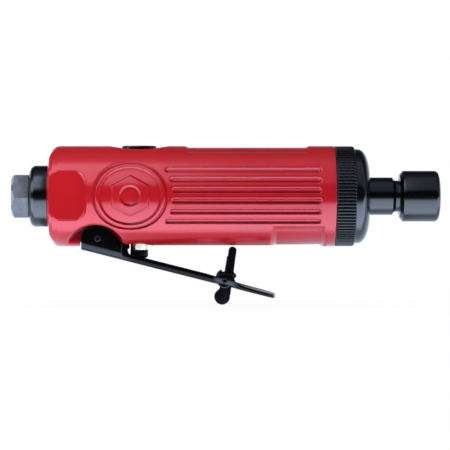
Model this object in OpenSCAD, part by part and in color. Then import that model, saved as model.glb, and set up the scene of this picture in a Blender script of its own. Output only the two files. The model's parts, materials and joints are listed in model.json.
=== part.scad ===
// Compact straight air die grinder with a lever throttle, a lock-off latch
// and a 1/4 inch collet. Millimetres. The spindle runs along +X, from the air
// inlet at the rear to the collet at the front. The lever hangs on the -Z side
// and the origin is the centre of the air inlet face.

/* [Housing] */
// Outside radius of the cast body
body_r = 19.4; // [19.2:0.1:19.8]
// Distance across the two wrench flats at the inlet end
flat_af = 33.8; // [33:0.1:35]
// Height of each wrench flat
flat_h = 19; // [16:0.5:20]
// Number of grip grooves on each side
groove_count = 6; // [2:2:6]
// Angle between neighbouring grip grooves
groove_pitch = 12.2; // [11:0.1:12.5]
// Width of one grip groove
groove_w = 2.0; // [1.2:0.1:2.2]
// Depth of one grip groove
groove_depth = 0.7; // [0.3:0.1:0.9]
// Where the grip grooves stop towards the collet
groove_end = 118.5; // [114:0.5:119.5]
// Depth of the long recess on top of the body
top_recess = 0.62; // [0.2:0.02:0.9]
// Depth of the recess under the front of the body
bottom_recess = 0.75; // [0.2:0.05:0.9]
// Radius of the round badge groove on each side
badge_r = 13.5; // [12:0.5:13.5]
// Depth of the badge groove
badge_depth = 0.45; // [0.2:0.05:0.6]

/* [Air inlet] */
// Distance across the flats of the inlet hexagon
hex_af = 15.875; // [15.6:0.025:16]
// Radius of the inlet thread wall, drawn as a plain bore
inlet_r = 5.6; // [5.2:0.1:5.8]
// Outside radius of the swivelling exhaust collar
collar_r = 11.8; // [11.4:0.1:12]

/* [Throttle] */
// Thickness of the lever sheet
sheet = 1.6; // [1.2:0.1:1.7]
// Width over the two lever ears
lever_w = 12.4; // [12:0.1:13]
// Length of the lever ahead of its pivot
lever_len = 72; // [66:0.5:74]
// Slope of the lever below the spindle axis at rest
lever_slope = 14.2; // [14:0.1:14.4]
// Lean of the lock-off latch towards the collet
latch_lean = 8.3; // [7.5:0.1:9]
// Half width of the latch
latch_hw = 3.4; // [2.4:0.1:3.4]
// Radius of the sliding throttle stem
stem_r = 3.35; // [3.2:0.01:3.36]

/* [Motor] */
// Radius of the rotor
rotor_r = 10.9; // [10.4:0.1:10.9]
// Number of vanes
vane_count = 5; // [3:1:6]
// Offset of the cylinder bore from the spindle axis
eccentric = 1.0; // [0.6:0.1:1.0]
// Number of balls in each bearing
ball_count = 7; // [5:1:8]

/* [Nose] */
// Number of knurls round the clamp nut
knurl_count = 90; // [60:2:100]
// Radius of the clamp nut over its knurls
knurl_r = 19.25; // [19:0.05:19.3]
// Radius of the spindle neck
neck_r = 7.24; // [7:0.02:7.3]
// Bore radius of the collet
collet_bore_r = 3.175; // [3:0.025:3.2]
// Outside radius of the collet nut
nut_r = 9.8; // [9.4:0.1:10]

/* [Hidden] */
$fn = 72;

red = [0.72, 0.07, 0.08];
black = [0.08, 0.08, 0.09];
latch_black = [0.1, 0.1, 0.11];
rubber = [0.12, 0.12, 0.12];
steel = [0.62, 0.62, 0.62];
ball_grey = [0.75, 0.75, 0.75];
screen_grey = [0.7, 0.7, 0.68];
brass = [0.80, 0.66, 0.36];
cage_tan = [0.6, 0.5, 0.3];
vane_brown = [0.55, 0.42, 0.25];
gasket_brown = [0.45, 0.4, 0.32];
seal_brown = [0.4, 0.38, 0.34];
felt_grey = [0.35, 0.34, 0.32];

// Places shared between sections
collar_x = 14.0;            // rear face of the housing
badge_x = 46.6;             // centre of the badge
valve_x = 49.16;            // axis of the throttle valve and regulator
motor_x = 60;               // bottom of the motor bore
motor_r = 15.5;             // radius of the motor bore
seam_x = 124.3;             // joint between housing and clamp nut
tenon_end = 130.4;          // front of the housing tenon inside the clamp nut
tenon_r = 17.6;
pivot = [33.2, 0, -16.3];   // lever pivot
latch_at = [82.0, 0, -32.5];// latch pivot
web_hw = 4.5;               // half width of the web between the lever ears
lever_pin_r = 1.25;
latch_pin_r = 1.1;
thread_r = 6.2;             // inlet bushing thread, drawn plain
bushing_r = 5.2;            // valve bushing and lower part of the regulator
regulator_r = 6.7;
snap_z = 15.6;              // middle of the regulator snap ring

// --- helpers -------------------------------------------------------------
// Box between two opposite corners
module box(from, to) translate(from) cube(to - from);

module x_rod(start, end, radius)
  translate([start, 0, 0]) rotate([0, 90, 0]) cylinder(h = end - start, r = radius);

module x_tube(start, end, outer, inner) difference() {
  x_rod(start, end, outer);
  x_rod(start - 1, end + 1, inner);
}

// Cutter for a groove round an X rod
module x_groove(x, radius, half_width, depth)
  x_tube(x - half_width, x + half_width, radius + 1, radius - depth);

module x_torus(x, radius, wire_r)
  translate([x, 0, 0]) rotate([0, 90, 0]) rotate_extrude()
    translate([radius, 0]) circle(r = wire_r, $fn = 32);

// Body turned about X from a list of [x, radius] points
module x_turn(profile)
  rotate([90, 0, 90]) rotate([0, 0, 90]) mirror([1, 0, 0]) rotate_extrude()
    polygon([for (point = profile) [point[1], point[0]]]);

// Copies spaced evenly about X
module x_ring(count) for (i = [0:count - 1]) rotate([360 * i / count, 0, 0]) children();

// Rod along Y, centred on Y = 0
module y_rod(x, z, radius, half_width)
  translate([x, half_width, z]) rotate([90, 0, 0]) cylinder(h = 2 * half_width, r = radius);

// Prism with its outline in X and Z, centred on Y = 0
module y_prism(outline, half_width)
  rotate([90, 0, 0]) translate([0, 0, -half_width])
    linear_extrude(height = 2 * half_width) polygon(outline);

// Rod, tube and torus about the valve axis, which is parallel to Z
module valve_rod(bottom, top, radius)
  translate([valve_x, 0, bottom]) cylinder(h = top - bottom, r = radius);

module valve_tube(bottom, top, outer, inner) difference() {
  valve_rod(bottom, top, outer);
  valve_rod(bottom - 1, top + 1, inner);
}

module valve_torus(z, radius, wire_r)
  translate([valve_x, 0, z]) rotate_extrude()
    translate([radius, 0]) circle(r = wire_r, $fn = 32);

// Round wire wound as a helix about Z, rising from Z = 0
module coil(radius, wire_r, turns, height, per_turn = 20, wire_sides = 8) {
  steps = round(turns * per_turn);
  points = [for (i = [0:steps]) for (j = [0:wire_sides - 1])
    let (turn = 360 * i / per_turn,
      section = 360 * j / wire_sides,
      reach = radius + wire_r * cos(section))
    [reach * cos(turn), reach * sin(turn), height * i / steps + wire_r * sin(section)]];
  walls = [for (i = [0:steps - 1]) for (j = [0:wire_sides - 1])
    let (next = (j + 1) % wire_sides, here = i * wire_sides, ahead = here + wire_sides)
    [here + j, here + next, ahead + next, ahead + j]];
  start_cap = [[for (j = [wire_sides - 1:-1:0]) j]];
  end_cap = [[for (j = [0:wire_sides - 1]) steps * wire_sides + j]];
  polyhedron(points = points, faces = concat(walls, start_cap, end_cap), convexity = 10);
}

// --- housing -------------------------------------------------------------
// Rear ends of the grip grooves, from the middle pair outwards
groove_starts = [62.6, 61.5, 59.7];
top_recess_x = [68.2, 113.3];
bottom_recess_x = [101.4, 118.8];
flat_end = 29.9;       // front of the wrench flats
flat_corner_r = 4.75;
dish_r = 29.06;        // sphere that dishes the body round the regulator
dish_z = 46.22;
duct_y = 9.3;          // exhaust ducts, rounded above and below
duct_r = 1.9;
duct_z = 2.2;
duct_end = 58;
gallery_x = [57, 110];

// [x, radius]
body_profile = [[collar_x, 0], [collar_x, 12], [14.17, 12.7], [14.5, 14.3], [14.8, 15.8],
  [15.3, 17.4], [16.5, 18.9], [18.2, body_r], [seam_x, body_r], [seam_x, 0]];

// Clearance for the front of each ear: [radius about the pivot, length, height]
ear_clearances = [[10.4, 12, 12.6], [12.8, 14, 6.9]];

module grip_groove(angle, start) {
  end_r = groove_w / 2;
  rotate([angle, 0, 0]) translate([0, 0, body_r - groove_depth])
    linear_extrude(height = 3) union() {
      translate([start + end_r, -end_r]) square([groove_end - start - groove_w, groove_w]);
      for (x = [start + end_r, groove_end - end_r]) translate([x, 0]) circle(r = end_r, $fn = 24);
    }
}

module grip_grooves(side) for (i = [0:groove_count - 1]) {
  from_middle = i - (groove_count - 1) / 2;
  grip_groove(-side * (90 + from_middle * groove_pitch), groove_starts[floor(abs(from_middle))]);
}

// Children drawn about +Z, turned to one side and cut to a depth in the body
module badge_cut(side, depth) intersection() {
  x_tube(30, 64, body_r + 1, body_r - depth);
  translate([badge_x, 0, 0]) rotate([-90 * side, 0, 0]) children();
}

// Thin round groove, and inside it a band round a hexagon
module badge(side) {
  badge_cut(side, badge_depth) difference() {
    cylinder(h = 30, r = badge_r);
    translate([0, 0, -1]) cylinder(h = 32, r = badge_r - 0.7);
  }
  badge_cut(side, badge_depth * 0.8) difference() {
    cylinder(h = 30, r = badge_r - 2.5);
    rotate([0, 0, 30]) cylinder(h = 32, r = badge_r - 5.4, $fn = 6);
  }
}

module flat_cut(side) {
  half_h = flat_h / 2;
  corner_z = half_h - flat_corner_r;
  corner_x = flat_end - flat_corner_r;
  cut = 8;
  translate([0, side > 0 ? flat_af / 2 : -flat_af / 2 - cut, 0])
    rotate([-90, 0, 0]) mirror([0, 1, 0]) linear_extrude(height = cut) union() {
      translate([12, -half_h]) square([corner_x - 12, flat_h]);
      translate([20, -corner_z]) square([flat_end - 20, 2 * corner_z]);
      for (end = [-1, 1]) translate([corner_x, end * corner_z]) circle(r = flat_corner_r);
    }
}

module housing_outer() {
  difference() {
    x_turn(body_profile);
    for (side = [-1, 1]) {
      flat_cut(side);
      grip_grooves(side);
      badge(side);
    }
    // long recess on top
    difference() {
      box([top_recess_x[0], -20, 17.2], [top_recess_x[1], 20, 22.2]);
      x_rod(60, 120, body_r - top_recess);
    }
    // recess under the front
    difference() {
      box([bottom_recess_x[0], -25, -25], [bottom_recess_x[1], 25, -13.2]);
      x_rod(95, 125, body_r - bottom_recess);
    }
    // flat that the lever folds against
    box([55, -20, -25], [100.4, 20, -18.95]);
    // dish round the regulator and spot face round the valve
    translate([valve_x, 0, dish_z]) sphere(r = dish_r, $fn = 200);
    valve_rod(-25, -18.2, 5.7);
  }
  x_rod(seam_x - 1, tenon_end, tenon_r);
}

// Pockets either side of the web, which is trimmed clear of the lever floor
module lever_pockets() {
  pocket_hw = 12;
  clearance_hw = 1.15;
  for (side = [-1, 1]) {
    translate([0, side * (web_hw + pocket_hw), 0]) y_rod(32.5, -23, 11.9, pocket_hw);
    translate([0, side * (web_hw + clearance_hw), 0])
      for (clearance = ear_clearances) intersection() {
        y_rod(pivot.x, pivot.z, clearance[0], clearance_hw);
        translate([pivot.x, -5, -24]) cube([clearance[1], 10, clearance[2]]);
      }
  }
  box([26.2, -6, -25], [44.5, 6, -18.8]);
  translate(pivot) rotate([0, lever_slope, 0]) box([-7.4, -6, -10], [1, 6, -2.9]);
  y_rod(pivot.x, pivot.z, lever_pin_r + 0.005, 30);
}

// Galleries beside the cylinder, and ducts from them to the inlet end
module exhaust_passages() {
  duct_start = collar_x - 1;
  for (side = [-1, 1]) {
    intersection() {
      x_tube(gallery_x[0], gallery_x[1], 17.0, 7.4);
      translate([gallery_x[0], side > 0 ? 2 : -20, -6])
        cube([gallery_x[1] - gallery_x[0], 18, 12]);
    }
    for (z = [-duct_z, duct_z])
      translate([0, side * duct_y, z]) x_rod(duct_start, duct_end, duct_r);
    translate([duct_start, side * duct_y - duct_r, -duct_z])
      cube([duct_end - duct_start, 2 * duct_r, 2 * duct_z]);
  }
}

module housing() color(red) difference() {
  housing_outer();
  lever_pockets();
  // air inlet thread and passage to the valve
  x_rod(collar_x - 1, 26.5, thread_r + 0.05);
  x_rod(26, valve_x, 3.5);
  // valve bore, regulator bore and snap ring groove
  valve_rod(-25, 5.9, bushing_r + 0.01);
  valve_rod(5.8, 12, bushing_r + 0.05);
  valve_rod(12, 25, regulator_r + 0.05);
  valve_rod(snap_z - 0.5, snap_z + 0.5, 7.3);
  // air to the motor
  translate([0, 0, -11.9]) x_rod(valve_x + 3, motor_x + 1, 2.0);
  exhaust_passages();
  // clip chamber and motor bore
  x_rod(55.8, 61, 5);
  x_rod(motor_x, 135, motor_r);
}

// --- inlet and exhaust ---------------------------------------------------
hex_end = 6.64;
hex_corner_r = 9.3;    // turned corners of the inlet hexagon
inlet_oring_x = 16.4;
screen_pitch = 1.25;
screen_hole = 0.84;
chamber_x = 8.8;       // rear of the chamber in the deflector
chamber_r = [7.9, 10.9];
deflector_end = 13.95;

// [x, radius]
deflector_profile = [[6.7, 7.05], [6.7, 7.9], [7.37, 9.92], [8.14, 11.16], [8.92, 11.54],
  [9.69, 11.7], [10.5, collar_r], [deflector_end, collar_r], [deflector_end, chamber_r[1]],
  [chamber_x, chamber_r[1]], [chamber_x, chamber_r[0]], [deflector_end, chamber_r[0]],
  [deflector_end, 7.05]];

module inlet_bushing() color(steel) difference() {
  union() {
    intersection() {
      rotate([0, 90, 0]) rotate([0, 0, 85])
        cylinder(h = hex_end, r = hex_af / sqrt(3), $fn = 6);
      x_turn([[0, 0], [0, 7.1], [1.27, hex_corner_r], [hex_end, hex_corner_r], [hex_end, 0]]);
    }
    x_rod(6.6, collar_x, 7.0);
    x_rod(13.9, 26.3, thread_r);
  }
  x_rod(-1, 14.0, inlet_r);
  x_rod(13.9, 14.75, 5.0);
  x_rod(14.7, 30, 4.0);
  x_groove(inlet_oring_x, thread_r, half_width = 0.8, depth = 0.9);
}

module inlet_screen() color(screen_grey) difference() {
  x_rod(14.02, 14.72, 4.97);
  for (y = [-3:3]) for (z = [-3:3]) if (y * y + z * z < 11)
    translate([13.5, y * screen_pitch - screen_hole / 2, z * screen_pitch - screen_hole / 2])
      cube([2, screen_hole, screen_hole]);
}

module inlet_oring() color(rubber) x_torus(inlet_oring_x, 5.75, 0.44);

module exhaust_deflector() color(black) difference() {
  x_turn(deflector_profile);
  // outlet slots over one third of the shoulder
  for (angle = [-60:20:60]) rotate([angle, 0, 0]) box([6, 9.35, -0.8], [10, 10.8, 0.8]);
}

module muffler_felt() color(felt_grey)
  x_tube(9.0, 13.4, chamber_r[1] - 0.08, chamber_r[0] + 0.08);

// --- lever ---------------------------------------------------------------
// Heights are in the lever's own axes, from the pivot.
lever_bottom = -5.75;
floor_top = lever_bottom + sheet;
wall_top = -2.9;
bend_r = 3;            // outside radius of the channel corners
lever_hw = lever_w / 2;
channel_hw = lever_hw - sheet;

// World [x, z] offset from the pivot, turned into the lever's own axes
function to_lever(offset) = [
  offset[0] * cos(lever_slope) - offset[1] * sin(lever_slope),
  offset[0] * sin(lever_slope) + offset[1] * cos(lever_slope)];

latch_pin_at = to_lever([latch_at.x - pivot.x, latch_at.z - pivot.z]);

// Ear, as world [x, z] offsets from the pivot
ear_outline = concat([[-6.3, -8], [-6.3, 0.6]],
  [for (angle = [170:-20:90]) [6.3 * cos(angle), 0.6 + 4.4 * sin(angle)]],
  [[2.6, 4.55], [5.4, 2.6], [8.6, -0.9], [9.6, -2.3], [11.2, -3.5], [11.6, -4.2],
    [11.8, -6.0], [13.4, -12]]);

// Channel walls tapering to the flat tip, as lever [x, z]
wall_outline = [[9, lever_bottom - 1], [lever_len + 1, lever_bottom - 1],
  [lever_len + 1, floor_top + 0.05], [60, floor_top + 0.3], [34, wall_top], [9, wall_top]];

module bend_circles(radius) for (side = [-1, 1])
  translate([side * (lever_hw - bend_r), lever_bottom + bend_r]) circle(r = radius);

// U channel in Y and Z, open at the top
module lever_section() {
  floor_w = lever_w - 2 * bend_r;
  difference() {
    union() {
      translate([-lever_hw, lever_bottom + bend_r]) square([lever_w, 16]);
      translate([-floor_w / 2, lever_bottom]) square([floor_w, 5]);
      bend_circles(bend_r);
    }
    translate([-channel_hw, lever_bottom + bend_r]) square([2 * channel_hw, 20]);
    translate([-floor_w / 2, floor_top]) square([floor_w, 5]);
    bend_circles(bend_r - sheet);
  }
}

module throttle_lever() color(black) translate(pivot) rotate([0, lever_slope, 0]) difference() {
  tip_x = lever_len - lever_hw;
  intersection() {
    translate([-12, 0, 0]) rotate([90, 0, 90])
      linear_extrude(height = lever_len + 12) lever_section();
    // side view: ears, tapering walls and latch pin bosses
    union() {
      y_prism([for (point = ear_outline) to_lever(point)], 8);
      y_prism(wall_outline, 8);
      y_rod(latch_pin_at[0], latch_pin_at[1], 3.1, 8);
    }
    // plan view: straight sides and a round tip
    union() {
      box([-12, -8, -12], [tip_x, 8, 12]);
      translate([tip_x, 0, -12]) cylinder(h = 24, r = lever_hw);
    }
  }
  y_rod(0, 0, lever_pin_r + 0.05, 10);
  y_rod(latch_pin_at[0], latch_pin_at[1], latch_pin_r + 0.005, 10);
  // window in the floor for the latch
  box([latch_pin_at[0] - 9.9, -4.4, lever_bottom - 1],
    [latch_pin_at[0] + 13.7, 4.4, lever_bottom + 3]);
}

// Hollow pin along Y with one slit, turned about Y to slit_angle
module roll_pin(place, radius, half_width, slit_angle) difference() {
  y_rod(place.x, place.z, radius, half_width);
  y_rod(place.x, place.z, radius * 0.55, half_width + 1);
  translate([place.x, 0, place.z]) rotate([0, slit_angle, 0])
    translate([0, -half_width - 1, -radius * 0.16])
      cube([radius + 1, 2 * half_width + 2, radius * 0.32]);
}

module lever_pin() color(steel) roll_pin(pivot, lever_pin_r, lever_hw + 0.2, slit_angle = -60);

module latch_pin() color(steel) roll_pin(latch_at, latch_pin_r, lever_hw + 0.1, slit_angle = 20);

// --- lock-off latch ------------------------------------------------------
// Finger tab below the pin, as [x, z] from the latch pivot
tab_outline = [[-1.9, 0.5], [2.45, 0.5], [2.5, -3], [2.05, -6.6], [-3.2, -6.6], [-3.0, -5],
  [-1.5, -3]];
latch_coil_r = 2.3;
latch_wire_r = 0.17;
latch_coil_y = 3.68;   // inner end of each coil
latch_coil_len = 0.52;
// Straight spring legs: [x, turn about Y, length]
spring_legs = [[-latch_coil_r, 14, 4.2], [latch_coil_r, 62, 2.4]];

module lock_latch() color(latch_black) translate(latch_at) difference() {
  union() {
    y_rod(0, 0, 2.6, latch_hw);
    // leaning arm with a narrower rounded end
    translate([1.33, 0, 0]) rotate([0, latch_lean, 0]) {
      box([-1.65, -latch_hw, 0], [1.65, latch_hw, 9.2]);
      box([-1.35, -latch_hw, 9], [1.65, latch_hw, 11.5]);
      y_rod(0.15, 11.3, 1.5, latch_hw);
    }
    y_prism(tab_outline, latch_hw);
    y_rod(-0.9, -6.3, 3.0, latch_hw);
  }
  y_rod(0, 0, latch_pin_r + 0.05, 10);
}

module latch_spring() color(steel) translate(latch_at) for (side = [-1, 1]) {
  translate([0, side > 0 ? latch_coil_y : -latch_coil_y - latch_coil_len, 0])
    rotate([-90, 0, 0])
      coil(latch_coil_r, latch_wire_r, turns = 1.5, height = latch_coil_len,
        per_turn = 24, wire_sides = 6);
  for (leg = spring_legs)
    translate([leg[0], side * 4.0, 0]) rotate([0, leg[1], 0])
      cylinder(h = leg[2], r = latch_wire_r, $fn = 16);
}

// --- throttle valve and regulator ----------------------------------------
bushing_top = -3;
stem_bottom = -20.7;
stem_oring_z = -16.5;
spigot_bottom = -22.6; // spigot that carries the button
spigot_r = 1.6;
rod_r = 1.5;           // thin rod of the stem, through the poppet
button_bottom = -24.3;
button_dome_r = 6.5;
regulator_oring_z = 13.6;
oring_groove_hw = 0.7;

module valve_bushing() color(brass) difference() {
  valve_rod(-17.9, bushing_top, bushing_r);
  valve_rod(-19, -2, stem_r + 0.05);
  valve_rod(-13.8, -4.6, 3.95);
  translate([0, 0, -11.0]) x_rod(valve_x, valve_x + 8, 1.9);
}

module valve_stem() color(brass) difference() {
  union() {
    valve_rod(stem_bottom, -14.2, stem_r);
    valve_rod(-14.3, -1.0, rod_r);
    valve_rod(spigot_bottom, -20.6, spigot_r);
  }
  valve_tube(stem_oring_z - oring_groove_hw, stem_oring_z + oring_groove_hw, 6, stem_r - 0.85);
}

module stem_oring() color(rubber) valve_torus(stem_oring_z, stem_r - 0.43, 0.41);

module stem_button() color(black) difference() {
  intersection() {
    valve_rod(button_bottom, stem_bottom, stem_r + 0.1);
    translate([valve_x, 0, button_bottom + button_dome_r]) sphere(r = button_dome_r, $fn = 96);
  }
  valve_rod(spigot_bottom - 0.02, -20, spigot_r + 0.01);
}

module valve_poppet() color(rubber) valve_tube(bushing_top + 0.03, -1.2, 4.4, rod_r + 0.01);

module valve_spring() color(steel)
  translate([valve_x, 0, -0.78]) coil(2.5, 0.36, turns = 4.5, height = 5.9);

module regulator() color(black) difference() {
  union() {
    valve_rod(5.6, 12.1, bushing_r);
    valve_rod(12.05, 19.05, regulator_r);
    translate([valve_x, 0, 19.0]) cylinder(h = 0.35, r1 = regulator_r, r2 = regulator_r - 0.35);
  }
  // grooves for the O-ring and the snap ring
  valve_tube(regulator_oring_z - oring_groove_hw, regulator_oring_z + oring_groove_hw, 8, 5.9);
  valve_tube(snap_z - 0.55, snap_z + 0.55, 8, 6.0);
  // screwdriver slot and throttling notch
  translate([valve_x - 4.2, -0.7, 18.2]) cube([8.4, 1.4, 3]);
  translate([valve_x, -1.8, 5]) cube([8, 3.6, 3]);
}

module regulator_oring() color(rubber) valve_torus(regulator_oring_z, 6.31, 0.39);

module regulator_ring() color(steel) difference() {
  valve_tube(snap_z - 0.4, snap_z + 0.4, 7.25, 6.05);
  translate([valve_x + 3, -1.2, 14]) cube([6, 2.4, 4]);
}

// --- air motor -----------------------------------------------------------
plate_r = motor_r - 0.05;  // end plates and liner
rear_plate_x = 60.2;
liner_x = [67.2, 115.2];
front_plate_end = 127;
front_pocket_x = 118.5;    // bottom of the front bearing pocket
front_pocket_r = 13.0;
dowel_r = 0.75;
dowel_hole_r = dowel_r + 0.015;
journal_r = 2.99;          // rear journal of the rotor
clip_x = 59.65;
vane_w = 1.54;

// Bearings: [rear, front] of the races, ball radius and ball circle radius
rear_race_x = [60.25, 66.2];
rear_ball_x = (rear_race_x[0] + rear_race_x[1]) / 2;
rear_ball_r = 1.7;
rear_pitch_r = 6.25;
front_race_x = [front_pocket_x + 0.02, 126.5];
front_ball_x = 122.5;
front_ball_r = 2.35;
front_pitch_r = 9.0;

// Air port below the cylinder
module port(start, end) translate([0, 0, -13.1]) x_rod(start, end, 1.3);

module dowel(start, end, radius) translate([0, 0, 14.25]) x_rod(start, end, radius);

module race(span, outer, inner, ball_r, pitch_r) difference() {
  x_tube(span[0], span[1], outer, inner);
  x_torus((span[0] + span[1]) / 2, pitch_r, ball_r + 0.03);
}

module ball_set(x, ball_r, pitch_r)
  x_ring(ball_count) translate([x, 0, pitch_r]) sphere(r = ball_r, $fn = 24);

module cage(x, width, ball_r, pitch_r, half_thick) difference() {
  x_tube(x - width / 2, x + width / 2, pitch_r + half_thick, pitch_r - half_thick);
  ball_set(x, ball_r + 0.05, pitch_r);
}

module rear_gasket() color(gasket_brown) difference() {
  x_tube(motor_x, rear_plate_x, plate_r, 9.7);
  port(motor_x - 1, rear_plate_x + 1);
}

module rear_end_plate() color(steel) difference() {
  x_rod(rear_plate_x, liner_x[0], plate_r);
  x_rod(60, 66.4, 9.5);
  x_rod(66, 68, 4.2);
  port(60, 68);
  dowel(62, 70, dowel_hole_r);
}

module rear_bearing_outer() color(steel) race(rear_race_x, 9.49, 7.7, rear_ball_r, rear_pitch_r);

module rear_bearing_inner() color(steel) race(rear_race_x, 4.8, 3.0, rear_ball_r, rear_pitch_r);

module rear_bearing_balls() color(ball_grey) ball_set(rear_ball_x, rear_ball_r, rear_pitch_r);

module rear_bearing_cage() color(cage_tan)
  cage(rear_ball_x, 4.4, rear_ball_r, rear_pitch_r, half_thick = 0.5);

module rotor_clip() color(steel) difference() {
  x_tube(clip_x - 0.35, clip_x + 0.35, 4.3, 2.52);
  box([59, -1, 2], [61, 1, 6]);
}

module cylinder_liner() color(steel) difference() {
  x_rod(liner_x[0], liner_x[1], plate_r);
  translate([0, 0, eccentric]) x_rod(67, 116, 12.0);
  port(67, 105);
  dowel(67, 116, dowel_hole_r);
  // inlet slots from the port, exhaust windows to the galleries
  for (x = [74, 88, 102]) translate([x, -1, -14]) cube([3, 2, 4]);
  for (side = [-1, 1]) for (x = [72:10:102])
    translate([x, side > 0 ? 5 : -20, -1.5]) cube([5, 15, 3]);
}

module rotor() color(steel) difference() {
  slot_w = vane_w + 0.06;
  union() {
    x_rod(liner_x[0] + 0.15, liner_x[1] - 0.15, rotor_r);
    x_rod(58.9, 68, journal_r);
    x_rod(115, 126.6, 4.99);
    x_rod(126.5, 136.5, 3.8);
  }
  x_ring(vane_count) translate([67, -slot_w / 2, 5.4]) cube([49, slot_w, 8]);
  x_groove(clip_x, journal_r, half_width = 0.37, depth = 0.49);
}

module vanes() color(vane_brown) x_ring(vane_count)
  box([liner_x[0] + 0.2, -vane_w / 2, 5.45], [liner_x[1] - 0.2, vane_w / 2, rotor_r - 0.15]);

module alignment_pin() color(steel) dowel(63, 118.3, dowel_r);

module front_end_plate() color(steel) difference() {
  x_rod(liner_x[1], front_plate_end, plate_r);
  x_rod(front_pocket_x, 128, front_pocket_r);
  x_rod(115, 119, 7.4);
  dowel(115, 118.4, dowel_hole_r);
}

module front_spacer() color(steel) x_tube(115.1, front_pocket_x, 7.0, 5.02);

module front_bearing_outer() color(steel)
  race(front_race_x, front_pocket_r - 0.02, 10.95, front_ball_r, front_pitch_r);

module front_bearing_inner() color(steel)
  race(front_race_x, 7.05, 5.0, front_ball_r, front_pitch_r);

module front_bearing_balls() color(ball_grey)
  ball_set(front_ball_x, front_ball_r, front_pitch_r);

module front_bearing_cage() color(cage_tan)
  cage(front_ball_x, 6.0, front_ball_r, front_pitch_r, half_thick = 0.6);

module preload_washer() color(steel)
  x_tube(front_race_x[1] + 0.02, front_plate_end - 0.02, front_pocket_r - 0.05, 9.6);

module clamp_spacer() color(steel) x_tube(front_plate_end + 0.02, tenon_end, 15.4, 11.6);

// --- nose ----------------------------------------------------------------
clamp_x = seam_x + 0.05;   // rear face of the clamp nut
knurl_end = 131.95;
knurl_depth = 0.55;
seal_x = [132.2, 134.4];   // seal pocket in the clamp nut
seal_r = 9.9;
neck_hole_r = neck_r + 0.4;
dome_steps = 9;

// Turned outlines, all [x, radius]
knurl_profile = [[clamp_x, 0], [clamp_x, 18.8], [124.9, 19.35], [131.3, 19.35],
  [knurl_end, 18.6], [knurl_end, 0]];
dome_profile = concat([[131.5, 0], [131.5, 18.2], [132.2, 18.2]],
  [for (i = [0:dome_steps]) let (angle = 90 * i / dome_steps)
    [133.4 + 4.25 * sin(angle), 9.65 + 8.5 * cos(angle)]],
  [[137.65, 0]]);
clamp_bore = [[120, 0], [120, tenon_r + 0.05], [tenon_end + 0.05, tenon_r + 0.05],
  [tenon_end + 0.05, 12.4], [seal_x[0], 12.4], [seal_x[0], seal_r], [seal_x[1], seal_r],
  [seal_x[1], neck_hole_r], [140, neck_hole_r], [140, 0]];
collet_body_profile = [[126.75, 3.83], [126.75, 6.9], [127.1, neck_r], [147.0, neck_r],
  [147.2, 6.75], [147.6, 6.3], [148.3, 6.0], [149.3, 6.0], [149.5, 6.6], [159.9, 6.6],
  [160.3, 6.2], [160.3, 5.45], [143.0, 4.45], [142.5, 3.83]];
collet_profile = [[143.1, collet_bore_r], [143.1, 4.42], [159.8, 5.385], [160.7, 5.385],
  [160.7, 5.9], [161.2, 5.9], [163.5, 4.55], [164.3, 4.45], [164.3, collet_bore_r]];
collet_nut_profile = [[149.45, 6.65], [149.45, 8.2], [150.65, nut_r], [163.4, nut_r],
  [164.1, nut_r - 0.5], [164.55, nut_r - 1.2], [164.75, 7.8], [164.75, 4.9], [164.2, 4.62],
  [163.5, 4.62], [161.2, 5.98], [160.55, 6.65]];

module clamp_nut() color(black) difference() {
  union() {
    intersection() {
      translate([clamp_x, 0, 0]) rotate([90, 0, 90])
        linear_extrude(height = knurl_end - clamp_x)
          polygon([for (i = [0:2 * knurl_count - 1])
            let (angle = 180 * i / knurl_count, radius = knurl_r - (i % 2) * knurl_depth)
            [radius * cos(angle), radius * sin(angle)]]);
      x_turn(knurl_profile);
    }
    x_turn(dome_profile);
  }
  x_turn(clamp_bore);
}

module spindle_seal() color(seal_brown)
  x_tube(seal_x[0] + 0.05, seal_x[1] - 0.05, seal_r - 0.05, neck_r + 0.06);

module collet_body() color(black) x_turn(collet_body_profile);

// Thin slits leave four jaws joined at the small end
module collet() color(steel) difference() {
  x_turn(collet_profile);
  for (angle = [0, 90]) rotate([angle, 0, 0]) box([147, -0.35, -8], [167, 0.35, 8]);
}

module collet_nut() color(black) x_turn(collet_nut_profile);

housing();
inlet_bushing();
inlet_screen();
inlet_oring();
exhaust_deflector();
muffler_felt();
throttle_lever();
lever_pin();
lock_latch();
latch_pin();
latch_spring();
valve_bushing();
valve_stem();
stem_button();
stem_oring();
valve_poppet();
valve_spring();
regulator();
regulator_oring();
regulator_ring();
rear_gasket();
rear_end_plate();
rear_bearing_outer();
rear_bearing_inner();
rear_bearing_balls();
rear_bearing_cage();
rotor_clip();
cylinder_liner();
rotor();
vanes();
alignment_pin();
front_end_plate();
front_spacer();
front_bearing_outer();
front_bearing_inner();
front_bearing_balls();
front_bearing_cage();
preload_washer();
clamp_spacer();
clamp_nut();
spindle_seal();
collet_body();
collet();
collet_nut();
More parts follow.
